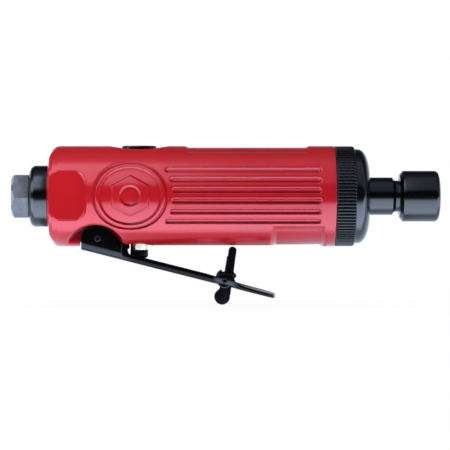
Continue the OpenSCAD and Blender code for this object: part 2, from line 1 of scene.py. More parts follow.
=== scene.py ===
# Straight air grinder. Its axis lies along X, with the inlet at x = 0 and the collet at the
# front, near x = 165 mm. Z is up: the regulator sits on top and the throttle lever below.
# The camera stands on the -Y side. Lengths are in millimetres unless metres are named;
# mesh_object scales them to metres.
import json
import math
import bpy
import bmesh
import numpy as np
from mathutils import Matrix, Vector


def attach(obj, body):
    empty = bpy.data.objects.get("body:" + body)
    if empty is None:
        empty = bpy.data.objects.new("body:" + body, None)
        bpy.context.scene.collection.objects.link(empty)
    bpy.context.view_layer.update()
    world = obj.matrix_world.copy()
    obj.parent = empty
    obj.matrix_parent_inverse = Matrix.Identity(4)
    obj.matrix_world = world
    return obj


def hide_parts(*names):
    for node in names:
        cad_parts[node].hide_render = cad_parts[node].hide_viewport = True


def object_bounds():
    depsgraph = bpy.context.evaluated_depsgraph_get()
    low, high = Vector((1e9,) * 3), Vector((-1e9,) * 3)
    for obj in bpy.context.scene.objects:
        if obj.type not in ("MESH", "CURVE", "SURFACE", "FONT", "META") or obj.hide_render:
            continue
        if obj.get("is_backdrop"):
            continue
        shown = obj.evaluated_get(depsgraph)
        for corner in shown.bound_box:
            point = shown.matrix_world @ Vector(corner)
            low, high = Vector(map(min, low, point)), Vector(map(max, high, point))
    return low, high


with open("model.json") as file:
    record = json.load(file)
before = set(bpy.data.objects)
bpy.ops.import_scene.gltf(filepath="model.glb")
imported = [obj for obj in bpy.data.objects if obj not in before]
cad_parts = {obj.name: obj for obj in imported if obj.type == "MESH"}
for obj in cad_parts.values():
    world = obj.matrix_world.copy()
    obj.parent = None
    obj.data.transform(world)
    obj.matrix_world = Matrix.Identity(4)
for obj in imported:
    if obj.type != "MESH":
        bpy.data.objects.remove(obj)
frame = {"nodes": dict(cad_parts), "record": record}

cad_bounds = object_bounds()
MM = 0.001
DEG = math.pi / 180

# Dimensions shared between pieces
CASING_R = 19.4
CASING_REAR_X, CASING_FRONT_X = 14.0, 124.3
SPIGOT_R = 17.6
VALVE_X = 49.16                      # vertical axis of the valve and the regulator
BADGE_X = 45.85
PIVOT_X, PIVOT_Z = 33.2, -16.3       # lever pin
LATCH_X, LATCH_Z = 82.0, -32.5       # latch pin
SLOPE = 14.2 * DEG                   # the lever falls away from the casing towards the front
SLOPE_TAN, SLOPE_COS, SLOPE_SIN = math.tan(SLOPE), math.cos(SLOPE), math.sin(SLOPE)
STRIP_DROP = 2.9                     # from the pivot to the lever's side edge, square to it
WEB_HALF = 4.5                       # casing left between the pockets for the lever ears

# ---------------------------------------------------------------- mesh helpers


def mesh_object(name, verts, faces, sharp=38.0, merge=0.0):
    """Object from millimetre coordinates, smooth up to `sharp` degrees."""
    mesh = bpy.data.meshes.new(name)
    points = (np.asarray(verts, float) * MM).tolist()
    mesh.from_pydata(points, [], [list(map(int, face)) for face in faces])
    ob = bpy.data.objects.new(name, mesh)
    bpy.context.scene.collection.objects.link(ob)
    bm = bmesh.new()
    bm.from_mesh(mesh)
    if merge:
        bmesh.ops.remove_doubles(bm, verts=bm.verts, dist=merge * MM)
        bmesh.ops.dissolve_degenerate(bm, edges=bm.edges, dist=merge * MM * 0.5)
    bmesh.ops.recalc_face_normals(bm, faces=bm.faces)
    bm.to_mesh(mesh)
    bm.free()
    shade_smooth(ob, sharp)
    return ob


def shade_smooth(ob, sharp):
    mesh = ob.data
    mesh.polygons.foreach_set("use_smooth", [True] * len(mesh.polygons))
    mesh.set_sharp_from_angle(angle=sharp * DEG)
    mesh.update()


def bake(ob, sharp):
    """Applies the modifiers, so that the mesh is final."""
    deps = bpy.context.evaluated_depsgraph_get()
    deps.update()
    mesh = bpy.data.meshes.new_from_object(ob.evaluated_get(deps), depsgraph=deps)
    ob.modifiers.clear()
    ob.data = mesh
    shade_smooth(ob, sharp)
    return ob


def cut(ob, cutters, sharp=38.0, op="DIFFERENCE"):
    """Applies a boolean with each cutter and removes the cutters."""
    for cutter in cutters:
        mod = ob.modifiers.new("cut", "BOOLEAN")
        mod.operation = op
        mod.solver = "MANIFOLD"
        mod.object = cutter
    bake(ob, sharp)
    if len(ob.data.vertices) == 0:
        raise SystemExit("boolean emptied " + ob.name)
    for cutter in cutters:
        bpy.data.objects.remove(cutter)
    return ob


def bevel(ob, width, segments, angle, sharp):
    bm = bmesh.new()
    bm.from_mesh(ob.data)
    bmesh.ops.dissolve_limit(bm, angle_limit=1.0 * DEG, verts=bm.verts, edges=bm.edges)
    bm.to_mesh(ob.data)
    bm.free()
    mod = ob.modifiers.new("bevel", "BEVEL")
    mod.width = width * MM
    mod.segments = segments
    mod.limit_method = "ANGLE"
    mod.angle_limit = angle * DEG
    mod.harden_normals = False
    mod.use_clamp_overlap = True
    return bake(ob, sharp)


def rounded(points, steps=5):
    """Rounds the corners of a closed outline of (x, y) or (x, y, corner radius) points."""
    out = []
    for i, point in enumerate(points):
        radius = point[2] if len(point) > 2 else 0.0
        corner = np.array(point[:2], float)
        if radius <= 0:
            out.append(tuple(corner))
            continue
        back = np.array(points[i - 1][:2], float) - corner
        ahead = np.array(points[(i + 1) % len(points)][:2], float) - corner
        back_len, ahead_len = np.linalg.norm(back), np.linalg.norm(ahead)
        back, ahead = back / back_len, ahead / ahead_len
        angle = math.acos(max(-1, min(1, float(back @ ahead))))
        trim = min(radius / math.tan(angle / 2), back_len * 0.49, ahead_len * 0.49)
        radius = trim * math.tan(angle / 2)
        middle = back + ahead
        centre = corner + middle / np.linalg.norm(middle) * (radius / math.sin(angle / 2))
        start, end = corner + back * trim - centre, corner + ahead * trim - centre
        first, last = math.atan2(start[1], start[0]), math.atan2(end[1], end[0])
        sweep = (last - first + math.pi) % (2 * math.pi) - math.pi
        for j in range(steps + 1):
            a = first + sweep * j / steps
            out.append((centre[0] + radius * math.cos(a), centre[1] + radius * math.sin(a)))
    return out


def ring_faces(rings, segments, closed=False):
    """Quads between successive rings of points, grouped by strip."""
    strips = rings if closed else rings - 1
    i, j = np.meshgrid(np.arange(strips), np.arange(segments), indexing="ij")
    here, there = i * segments, (i + 1) % rings * segments
    turned = (j + 1) % segments
    return np.stack([here + j, here + turned, there + turned, there + j], -1)


def turn(name, profile, segments=192, inset=None, sharp=38.0, axis="X", origin=(0, 0, 0)):
    """Turns a closed profile of (along, radius). inset(along, radius, angle) thins it."""
    angles = np.linspace(0, 2 * np.pi, segments, endpoint=False)
    along, angles = np.meshgrid([p[0] for p in profile], angles, indexing="ij")
    radii = np.array([max(p[1], 0.0) for p in profile])
    radius = radii[:, None] + 0 * angles
    if inset is not None:
        radius = radius - inset(along, radius, angles)
    across, up = radius * np.sin(angles), radius * np.cos(angles)
    order = {"X": (along, across, up), "Y": (up, along, across), "Z": (across, up, along)}
    verts = np.stack(order[axis], -1).reshape(-1, 3) + np.array(origin, float)
    # strips that lie on the axis have no area
    on_axis = radii < 1e-6
    faces = ring_faces(len(profile), segments, closed=True)
    faces = faces[~(on_axis & np.roll(on_axis, -1))].reshape(-1, 4)
    return mesh_object(name, verts, faces, sharp, merge=0.002 if on_axis.any() else 0.0)


def prism(name, outline, start, end, axis="Y", sharp=38.0):
    """Outline extruded along an axis; it is in (x, z), (x, y) or (y, z) for Y, Z or X."""
    count = len(outline)
    verts = []
    for depth in (start, end):
        for a, b in outline:
            verts.append({"X": (depth, a, b), "Y": (a, depth, b), "Z": (a, b, depth)}[axis])
    caps = [list(range(count)), list(range(2 * count - 1, count - 1, -1))]
    return mesh_object(name, verts, caps + ring_faces(2, count)[0].tolist(), sharp)


def box_cutter(low, high, angle=0.0, at=(0, 0)):
    """Box between two corners, turned about Y by `angle` degrees, then moved to (x, z)."""
    cos, sin = math.cos(angle * DEG), math.sin(angle * DEG)
    outline = [(low[0], low[2]), (high[0], low[2]), (high[0], high[2]), (low[0], high[2])]
    outline = [(x * cos + z * sin + at[0], -x * sin + z * cos + at[1]) for x, z in outline]
    return prism("cutter", outline, low[1], high[1])


def drill(radius, start, end, axis, origin):
    profile = [(start, 0), (start, radius), (end, radius), (end, 0)]
    return turn("cutter", profile, 48, axis=axis, origin=origin)


def cross_drill(x, z, radius, reach=9):
    return drill(radius, -reach, reach, "Y", (x, 0, z))


def tube(name, path, radius, segments=10):
    """Round wire along a path of points."""
    path = np.array(path, float)
    tangents = np.gradient(path, axis=0)
    tangents /= np.linalg.norm(tangents, axis=1)[:, None]
    normal = np.cross(tangents[0], [0.3, 0.9, 0.2])
    normal /= np.linalg.norm(normal)
    verts = []
    for point, tangent in zip(path, tangents):
        normal = normal - tangent * (normal @ tangent)
        normal /= np.linalg.norm(normal)
        binormal = np.cross(tangent, normal)
        for k in range(segments):
            a = 2 * math.pi * k / segments
            verts.append(point + radius * (math.cos(a) * normal + math.sin(a) * binormal))
    faces = ring_faces(len(path), segments).reshape(-1, 4).tolist()
    faces.append(list(range(segments))[::-1])
    faces.append([(len(path) - 1) * segments + k for k in range(segments)])
    return mesh_object(name, verts, faces, sharp=60)


def arc(x, y, radius, angles):
    return [(x + radius * math.cos(a * DEG), y + radius * math.sin(a * DEG)) for a in angles]


def soft_min(a, b, blend):
    h = np.clip(0.5 + 0.5 * (b - a) / blend, 0, 1)
    return b * (1 - h) + a * h - blend * h * (1 - h)


def soft_max(a, b, blend):
    return -soft_min(-a, -b, blend)


def smooth_step(start, end, x):
    t = np.clip((x - start) / (end - start), 0, 1)
    return t * t * (3 - 2 * t)


# ---------------------------------------------------------------- shader graphs


class Graph:
    """Adds shader nodes to a material or world. Inputs take either values or sockets."""

    def __init__(self, owner, output):
        owner.use_nodes = True
        self.tree = owner.node_tree
        self.tree.nodes.clear()
        self.output = self.add(output)

    def fill(self, node, inputs):
        for key, value in inputs.items():
            if isinstance(value, bpy.types.NodeSocket):
                self.tree.links.new(value, node.inputs[key])
            else:
                node.inputs[key].default_value = value

    def add(self, kind, inputs=None, **settings):
        node = self.tree.nodes.new("ShaderNode" + kind)
        for key, value in settings.items():
            setattr(node, key, value)
        self.fill(node, inputs or {})
        return node

    def math(self, operation, *values):
        return self.add("Math", dict(enumerate(values)), operation=operation).outputs[0]

    def split(self, vector):
        return self.add("SeparateXYZ", {0: vector}).outputs

    def mix(self, factor, a, b):
        """Colour mix; sockets 0, 6 and 7 are the factor and the two colours."""
        return self.add("Mix", {0: factor, 6: a, 7: b}, data_type="RGBA").outputs[2]

    def ramp(self, factor, stops):
        """stops: (position, colour)."""
        node = self.add("ValToRGB", {"Fac": factor})
        elements = node.color_ramp.elements
        while len(elements) > 1:
            elements.remove(elements[-1])
        elements[0].position, elements[0].color = stops[0]
        for position, colour in stops[1:]:
            elements.new(position).color = colour
        return node.outputs["Color"]


class Surface(Graph):
    """A Principled material."""

    def __init__(self, name):
        self.material = bpy.data.materials.new(name)
        super().__init__(self.material, "OutputMaterial")
        self.shader = self.add("BsdfPrincipled")
        self.fill(self.output, {0: self.shader.outputs[0]})
        self.place = self.add("TexCoord").outputs["Object"]

    def shade(self, inputs):
        self.fill(self.shader, inputs)

    def noise(self, scale, detail=3.0, roughness=0.5, stretch=(1, 1, 1)):
        mapping = self.add("Mapping", {"Scale": stretch, "Vector": self.place})
        return self.add("TexNoise", {
            "Scale": scale, "Detail": detail, "Roughness": roughness,
            "Vector": mapping.outputs[0],
        }).outputs["Fac"]

    def remap(self, value, at=(0.0, 1.0), to=(0.0, 1.0)):
        """Maps the range `at` onto the range `to`."""
        return self.add("MapRange", {
            "From Min": at[0], "From Max": at[1], "To Min": to[0], "To Max": to[1],
            "Value": value,
        }).outputs["Result"]

    def edges(self, at):
        """Mask of the convex edges, from the pointiness range `at`."""
        return self.remap(self.add("NewGeometry").outputs["Pointiness"], at=at)

    def bumps(self, layers):
        """layers: (distance in metres, strength, noise settings)."""
        heights = [self.noise(**noise) for _, _, noise in layers]
        normal = None
        for (distance, strength, _), height in zip(layers, heights):
            inputs = {"Strength": strength, "Distance": distance, "Height": height}
            if normal is not None:
                inputs["Normal"] = normal
            normal = self.add("Bump", inputs).outputs[0]
        self.shade({"Normal": normal, "Coat Normal": normal})


def rgba(r, g, b):
    return (r, g, b, 1.0)


# ---------------------------------------------------------------- materials


def glossy_paint(name):
    """Coated red paint with painted light and shade: brighter at the rear, darker towards the
    front, and painted shade in the recesses of the casting.
    """
    m = Surface(name)
    broad = m.noise(scale=60, detail=4, roughness=0.55)
    fine = m.noise(scale=900, detail=3)
    colour = m.ramp(broad, [(0.3, rgba(0.50, 0.0085, 0.0125)), (0.7, rgba(0.56, 0.0105, 0.0150))])
    wear = m.math("MULTIPLY", m.edges(at=(0.53, 0.62)),
                  m.remap(m.noise(scale=400, detail=4), at=(0.45, 0.7)))
    wear_amount = 0.22
    colour = m.mix(m.math("MULTIPLY", wear, wear_amount), colour, rgba(0.60, 0.06, 0.07))
    # painted light falloff along x, in metres: brighter at the rear, darker towards the front
    painted_falloff = m.remap(m.split(m.place)["X"], at=(0.015, 0.125), to=(1.08, 0.86))
    # painted shade from the housing's shape; it also thins the coat where it is dark
    painted_shade = m.add("Attribute", attribute_name="painted_shade").outputs["Fac"]
    brightness = m.math("MULTIPLY", painted_falloff, m.remap(painted_shade, to=(1.0, 0.20)))
    shaded = m.add("VectorMath", {0: colour, "Scale": brightness}, operation="SCALE")
    m.shade({
        "Base Color": shaded.outputs[0],
        "Roughness": m.remap(fine, to=(0.30, 0.40)),
        "Metallic": 0.13,
        "IOR": 1.5,
        "Specular IOR Level": 0.25,
        "Specular Tint": rgba(1.0, 0.12, 0.5),
        "Coat Weight": m.remap(painted_shade, to=(0.82, 0.22)),
        "Coat IOR": 1.5,
        "Coat Roughness": m.remap(broad, to=(0.08, 0.15)),
    })
    m.bumps([
        (0.00014, 0.5, dict(scale=70, detail=2, stretch=(0.35, 1, 1))),
        (0.00003, 0.5, dict(scale=330, detail=2)),
        (0.000006, 0.5, dict(scale=1500, detail=2)),
    ])
    return m.material


def lever_painted_highlight(m, colour):
    """Painted highlight: light grey towards the tip of the lever on faces that look up, with a
    ragged edge, and a lighter grey at the very tip. x is in metres.
    """
    x = m.split(m.place)["X"]
    ragged = m.remap(m.noise(scale=900, detail=4, roughness=0.6), at=(0.3, 0.7), to=(-1, 1))
    ragged_depth = 0.0006
    edge = m.math("ADD", x, m.math("MULTIPLY", ragged, ragged_depth))
    up = m.split(m.add("NewGeometry").outputs["Normal"])["Z"]
    top_highlight = m.math("MULTIPLY", m.remap(edge, at=(0.0840, 0.0995)), m.remap(up, at=(0.02, 0.35)))
    top_highlight = m.math("MULTIPLY", top_highlight, m.remap(up, at=(0.86, 0.96), to=(1, 0.12)))
    patches = m.noise(scale=600, detail=5, roughness=0.6)
    top_highlight = m.math("MULTIPLY", top_highlight, m.remap(patches, at=(0.3, 0.6), to=(0.75, 1.0)))
    colour = m.mix(top_highlight, colour, rgba(0.36, 0.42, 0.46))
    colour = m.mix(m.remap(edge, at=(0.1006, 0.1014)), colour, rgba(0.50, 0.50, 0.50))
    # stronger reflection behind x = 0.0425 and around the lug
    lug_x = 0.0822
    from_lug = m.math("ABSOLUTE", m.math("SUBTRACT", x, lug_x), 0.0)
    lug = m.remap(from_lug, at=(0.003, 0.0045), to=(0.34, 0.0))
    rear = m.remap(x, at=(0.0425, 0.0465), to=(0.42, 0.16))
    m.shade({"Specular IOR Level": m.math("ADD", rear, lug)})
    return colour


def oxide(name, base, rough, ior, lines=False, painted_tip_highlight=False):
    """Blackened steel; `lines` adds turning marks across X."""
    m = Surface(name)
    dark = rgba(base * 0.8, base * 0.85, base)
    light = rgba(base * 1.3, base * 1.4, base * 1.6)
    colour = m.ramp(m.noise(scale=130, detail=4, roughness=0.6), [(0.3, dark), (0.7, light)])
    wear = m.math("MULTIPLY", m.edges(at=(0.54, 0.66)),
                  m.remap(m.noise(scale=700, detail=5), at=(0.42, 0.62), to=(0.2, 0.9)))
    wear_amount = 0.35
    colour = m.mix(m.math("MULTIPLY", wear, wear_amount), colour, rgba(0.03, 0.03, 0.033))
    # painted highlight towards the tip of the lever
    if painted_tip_highlight:
        colour = lever_painted_highlight(m, colour)
    m.shade({
        "Base Color": colour,
        "Roughness": m.remap(m.noise(scale=500, detail=4, roughness=0.6), to=rough),
        "IOR": ior,
    })
    layers = [(0.00002, 0.35, dict(scale=160))]
    if lines:
        marks = dict(scale=1.0, detail=2, roughness=0.6, stretch=(9000, 60, 60))
        layers.append((0.000004, 0.6, marks))
    m.bumps(layers)
    return m.material


def metal(name, colour, rough=(0.22, 0.38), metallic=1.0, scale=1.0, axis=0, scratch=0.5,
          dark=0.6):
    """Machined metal; `axis` is the number of the axis it was turned about."""
    m = Surface(name)
    m.shade({
        "Base Color": m.ramp(m.noise(scale=120 * scale, detail=5, roughness=0.6), [
            (0.25, rgba(*(q * dark for q in colour))),
            (0.6, rgba(*colour)),
            (0.9, rgba(*(min(1, q * 1.12) for q in colour))),
        ]),
        "Metallic": metallic,
        "Roughness": m.remap(m.noise(scale=420 * scale, detail=4, roughness=0.65), to=rough),
    })
    turned = [120, 120, 120]
    turned[axis] = 5200
    scratched = [900, 900, 900]
    scratched[(axis + 1) % 3] = 90
    m.bumps([
        (0.00001, scratch, dict(scale=1.0, detail=3, roughness=0.7, stretch=turned)),
        (0.00001, scratch * 0.8, dict(scale=1.0, detail=4, roughness=0.75, stretch=scratched)),
    ])
    return m.material


def soft(name, colour, rough, grain, depth, sheen=0.0, specular=0.4):
    """Rubber, plastic, felt or paper; `depth` of the grain is in metres."""
    m = Surface(name)
    dark = rgba(*(q * 0.75 for q in colour))
    m.shade({
        "Base Color": m.ramp(m.noise(scale=grain * 0.15, detail=4, roughness=0.6),
                             [(0.3, dark), (0.7, rgba(*colour))]),
        "Roughness": m.remap(m.noise(scale=grain * 0.5),
                             to=(rough * 0.85, min(1, rough * 1.15))),
        "Specular IOR Level": specular,
        "Sheen Weight": sheen,
    })
    m.bumps([
        (depth, 0.6, dict(scale=grain, roughness=0.6)),
        (depth * 1.5, 0.4, dict(scale=grain * 0.2, detail=2)),
    ])
    return m.material


RECIPES = {
    "red_paint": (glossy_paint, {}),
    "nickel": (metal, dict(colour=(0.115, 0.125, 0.145), rough=(0.30, 0.48), scale=2.2,
                           metallic=0.25, scratch=0.8, dark=0.42)),
    # a lighter copy of the nickel: painted highlight on the corners of the hexagon
    "nickel_edge": (metal, dict(colour=(0.42, 0.45, 0.50), rough=(0.3, 0.45), scale=2.2,
                                metallic=0.3, scratch=0.6, dark=0.45)),
    "screen_mesh": (metal, dict(colour=(0.66, 0.66, 0.64), rough=(0.3, 0.45))),
    "rubber": (soft, dict(colour=(0.02, 0.02, 0.02), rough=0.55, grain=1400, depth=0.00001)),
    "black_oxide": (oxide, dict(base=0.0012, rough=(0.11, 0.19), ior=1.60, lines=True)),
    "felt": (soft, dict(colour=(0.36, 0.34, 0.30), rough=0.95, grain=2600, depth=0.00012,
                        sheen=0.5, specular=0.1)),
    "black_satin": (oxide, dict(base=0.0011, rough=(0.12, 0.20), ior=1.52, lines=True)),
    "black_knurl": (oxide, dict(base=0.0010, rough=(0.20, 0.30), ior=1.40)),
    "black_steel": (oxide, dict(base=0.0010, rough=(0.13, 0.22), ior=1.38, painted_tip_highlight=True)),
    "pin_steel": (metal, dict(colour=(0.018, 0.019, 0.022), rough=(0.25, 0.4), metallic=0.4)),
    "black_plastic": (soft, dict(colour=(0.0016, 0.0018, 0.0026), rough=0.30, grain=1100,
                                 depth=0.00002, specular=0.16)),
    "spring_steel": (metal, dict(colour=(0.012, 0.013, 0.016), rough=(0.22, 0.36),
                                 metallic=0.3)),
    "brass": (metal, dict(colour=(0.97, 0.86, 0.58), rough=(0.30, 0.45), axis=2, scratch=0.35,
                          dark=0.88)),
    "gasket_paper": (soft, dict(colour=(0.30, 0.23, 0.14), rough=0.85, grain=1900,
                                depth=0.00003)),
    "cast_plate": (metal, dict(colour=(0.40, 0.40, 0.41), rough=(0.4, 0.6))),
    "bearing_steel": (metal, dict(colour=(0.78, 0.78, 0.79), rough=(0.06, 0.14), scratch=0.15,
                                  dark=0.9)),
    "cage_brass": (metal, dict(colour=(0.70, 0.54, 0.26), rough=(0.25, 0.4))),
    "ground_steel": (metal, dict(colour=(0.56, 0.56, 0.57), rough=(0.2, 0.34), scratch=0.4)),
    "vane_fibre": (soft, dict(colour=(0.30, 0.16, 0.06), rough=0.6, grain=800, depth=0.00002)),
}
MATERIALS = {name: make(name, **settings) for name, (make, settings) in RECIPES.items()}


def place(ob, slot, replaces, rides, material=None, second=None):
    """Paints a piece, hides the CAD node it replaces and hangs it under the empty of its body.
    second: (material, test of a face).
    """
    ob.data.materials.clear()
    ob.data.materials.append(MATERIALS[material or slot])
    if second:
        name, covers = second
        ob.data.materials.append(MATERIALS[name])
        for face in ob.data.polygons:
            if covers(face):
                face.material_index = 1
    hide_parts(replaces)
    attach(ob, rides)


# ---------------------------------------------------------------- housing
# The skin is a radius over x and an angle from +Z towards +Y. Each feature function takes
# and returns that radius, with the sine and cosine of the angle.

CLEAR = 99  # a radius that touches nothing

# (x, radius) of the rounded rear end
REAR_PROFILE = np.array([
    (14.0, 11.9), (14.06, 12.5), (14.17, 13.1), (14.35, 13.9), (14.6, 14.95), (14.9, 16.0),
    (15.3, 17.0), (15.8, 17.85), (16.5, 18.6), (17.3, 19.1), (18.2, 19.34), (19.2, CASING_R),
    (CASING_FRONT_X, CASING_R),
])
GROOVE_STARTS = (59.0, 60.9, 61.8, 61.8, 60.9, 59.0)  # rear end of each grip groove, in x
GROOVE_END = 118.5
GROOVE_HALF, GROOVE_DEPTH = 1.05, 0.88
GROOVE_PITCH = 12.2  # degrees


def above(value, floor=0):
    return np.maximum(value, floor)


def outside(x, start, end):
    return np.maximum(start - x, x - end)


def pare(r, where, limit, blend):
    """Limits the radius inside a region, with a soft edge."""
    return soft_min(r, np.where(where, limit, CLEAR), blend)


def rear_end(x, sin, cos):
    """Rounded rear, filled out at the corners of the side flats."""
    outline = np.interp(x, REAR_PROFILE[:, 0], REAR_PROFILE[:, 1])
    side = above(np.abs(sin), 1e-6)
    half_width, half_height = 16.95, above(outline - 0.9, 10.9)
    pad = ((side / half_width) ** 8 + (np.abs(cos) / half_height) ** 8) ** -0.125
    pad = soft_min(pad, CASING_R - 0.45 - above(16.2 - x) * 0.55, 1.0)
    pad = pad - above(14.9 - x) * 3.2 - above(x - 17.3) * 1.5
    return soft_max(outline, np.where(x > CASING_REAR_X + 0.02, pad, -5), 0.5)


def side_flats(r, x, sin, cos):
    """A flat on each side of the rear, with rounded front corners."""
    half_width, half_height, corner, wall_slope = 16.9, 9.5, 4.75, 4.0
    corner_x = 28.6 - corner
    height = np.abs(r * cos)
    past_corner = np.hypot(above(x - corner_x), above(height - (half_height - corner))) - corner
    distance = np.where(x > corner_x, past_corner, height - half_height)
    wall = np.sqrt(above(distance) ** 2 + 0.02) - 0.14
    flat = half_width / above(np.abs(sin), 1e-6) + wall * wall_slope
    return pare(r, np.abs(cos) <= 0.8, flat, 0.45)


def regulator_dish(r, x, sin, cos):
    """Spherical dish round the regulator."""
    centre_z, radius = 46.22, 29.06
    middle = cos * centre_z
    inside = middle * middle - (centre_z ** 2 + (x - VALVE_X) ** 2 - radius ** 2)
    return pare(r, (inside > 0) & (cos > 0), middle - np.sqrt(above(inside)), 0.35)


def shallow_recesses(r, x, sin, cos):
    """Recesses along the top and under the front."""
    wall_slope = 0.55
    away = above(outside(x, 68.2, 113.3), 17.2 - r * cos)
    r = pare(r, cos > 0, CASING_R - 0.62 + above(away) * wall_slope, 0.35)
    away = above(outside(x, 101.5, 118.8), r * cos + 13.2)
    return pare(r, cos < 0, CASING_R - 0.75 + above(away) * wall_slope, 0.4)


def lever_nest(r, x, sin, cos):
    """Everything cut from the underside for the lever and the valve."""
    down = above(-cos, 1e-6)
    under = cos < -0.5
    # flat for the lever
    nest_depth, face_depth, web_depth = 18.95, 18.2, 18.8
    r = pare(r, under, nest_depth / down + above(outside(x, 54.8, 100.3)), 0.25)
    # spot face round the valve
    away = np.hypot(x - VALVE_X, r * sin) - 5.7
    r = pare(r, under, face_depth / down + above(away) * 2.2, 0.35)
    # pockets for the lever ears, either side of the web
    pocket_x, pocket_r, pocket_low = 32.5, 11.9, 23
    along = x - pocket_x
    ceiling = (pocket_low - np.sqrt(above(pocket_r ** 2 - along * along))) / down
    pocket = soft_max(WEB_HALF / above(np.abs(sin), 1e-6), ceiling, 0.8)
    r = pare(r, (np.abs(along) < pocket_r) & (cos < -0.05), pocket, 1.5)
    # web trimmed clear of the lever floor
    trim_start, trim_half = 26.4, 6
    away = above(outside(x, trim_start, 44.5), np.abs(r * sin) - trim_half)
    r = pare(r, under, web_depth / down + above(away) * 3, 0.3)
    sloped = -PIVOT_Z + (STRIP_DROP + (x - PIVOT_X) * SLOPE_SIN) / SLOPE_COS
    near_web = (x > trim_start) & (x < 34.5) & (np.abs(r * sin) < trim_half)
    return pare(r, (cos < -0.7) & near_web, sloped / down, 0.2)


def grip_grooves(r, x, angle):
    for side in (1, -1):
        for i, start in enumerate(GROOVE_STARTS):
            middle = side * (90 + (i - 2.5) * GROOVE_PITCH) * DEG
            around = CASING_R * ((angle - middle + np.pi) % (2 * np.pi) - np.pi)
            past_end = outside(x, start + GROOVE_HALF, GROOVE_END - GROOVE_HALF)
            distance = np.hypot(around, above(past_end)) - GROOVE_HALF
            r = r - GROOVE_DEPTH * smooth_step(0.22, -0.80, distance)
    return r


def badge(r, x, sin, cos):
    """Ring groove, dished centre and a raised hexagon nut on each side."""
    z = CASING_R * np.arcsin(np.clip(cos, -1, 1))
    from_centre = np.hypot(x - BADGE_X, z)
    groove = smooth_step(0.75, 0.0, np.abs(from_centre - 13.73)) * 0.70
    dish = smooth_step(12.15, 11.35, from_centre) * 0.85
    hexagon = np.maximum.reduce([
        np.abs((x - BADGE_X) * math.cos(a) + z * math.sin(a))
        for a in (0, np.pi / 3, 2 * np.pi / 3)
    ]) - 6.9
    nut = smooth_step(0.45, -0.30, hexagon) * smooth_step(3.4, 4.2, from_centre) * 0.80
    return r - np.where(np.abs(sin) > 0.5, groove + dish - nut, 0)


def housing_radius(x, angle):
    sin, cos = np.sin(angle), np.cos(angle)
    r = rear_end(x, sin, cos)
    for feature in (side_flats, regulator_dish, shallow_recesses, lever_nest):
        r = feature(r, x, sin, cos)
    r = badge(grip_grooves(r, x, angle), x, sin, cos)
    # broken edge at the front seam
    return soft_min(r, CASING_R + (CASING_FRONT_X - x) * 1.4 - 0.32, 0.12)


def blur(grid, reach, axis, mode):
    kernel = np.ones(2 * reach + 1) / (2 * reach + 1)
    margins = [(reach, reach) if q == axis else (0, 0) for q in range(2)]
    padded = np.pad(grid, margins, mode=mode)
    return np.apply_along_axis(lambda v: np.convolve(v, kernel, "valid"), axis, padded)


def painted_cavity_shade(x, angle, r):
    """Painted shade: how far each point lies below its surroundings and how far it faces up, plus
    painted shade in the pockets for the lever ears.
    """
    around = blur(r, 8, 1, "wrap")
    depth = blur(around, 5, 0, "edge") - r
    step = 2 * CASING_R * 2 * np.pi / r.shape[1]
    facing_up = (np.roll(depth, 1, 1) - np.roll(depth, -1, 1)) / step * np.sin(angle)
    # the rear rounding and the flats are left without painted shade
    keep = smooth_step(30.0, 32.0, x) * smooth_step(0.70, 0.64, np.abs(np.cos(angle)))
    # painted shade: deeper points and walls that face up are darker
    dark = np.clip(depth - 0.05, 0, 1) * 0.30 + np.clip(facing_up - 0.06, 0, 1) * 1.25
    # painted shade in the pockets for the lever ears
    nest = np.clip((CASING_R - r - 0.8) / 1.4, 0, 1)
    nest = nest * (r * np.cos(angle) < -10.2) * (x > 20.5) * (x < 45.5)
    return np.maximum(np.clip(dark, 0, 1) * keep, 0.72 * nest)


def housing_cutters():
    """Bores, chambers, ear reliefs and ducts."""
    inlet = [(13, 0), (13, 6.25), (26.5, 6.25), (26.5, 3.5), (VALVE_X, 3.5), (VALVE_X, 0)]
    # (z, radius) of the bore for the valve and the regulator
    upright = [(-25, 0), (-25, 5.21), (5.9, 5.21), (5.9, 5.25), (12, 5.25), (12, 6.75),
               (15.1, 6.75), (15.1, 7.3), (16.1, 7.3), (16.1, 6.75), (25, 6.75), (25, 0)]
    front = [(55.8, 0), (55.8, 5), (60, 5), (60, 15.5), (135, 15.5), (135, 0)]
    cutters = [
        turn("cutter", inlet, 128),
        turn("cutter", upright, 128, axis="Z", origin=(VALVE_X, 0, 0)),
        turn("cutter", front, 128),
        drill(2, VALVE_X + 3, 61, "X", (0, 0, -11.9)),
        cross_drill(PIVOT_X, PIVOT_Z, 1.255, reach=6),
    ]
    relief = [(PIVOT_X, -11.4), (PIVOT_X, -27)]
    relief += arc(PIVOT_X, PIVOT_Z, 12.8, np.linspace(-45, -1.7, 14))
    relief += arc(PIVOT_X, PIVOT_Z, 10.4, np.linspace(-2.1, 28.1, 14))
    for side in (-1, 1):
        # relief for the front of each ear
        cutters.append(prism("cutter", relief, *sorted((side * WEB_HALF, side * 6.8))))
        # exhaust duct to the inlet end
        low, high = sorted((side * 7.4, side * 11.2))
        cutters.append(box_cutter((13, low, -3.6), (57.5, high, 3.6)))
    return cutters


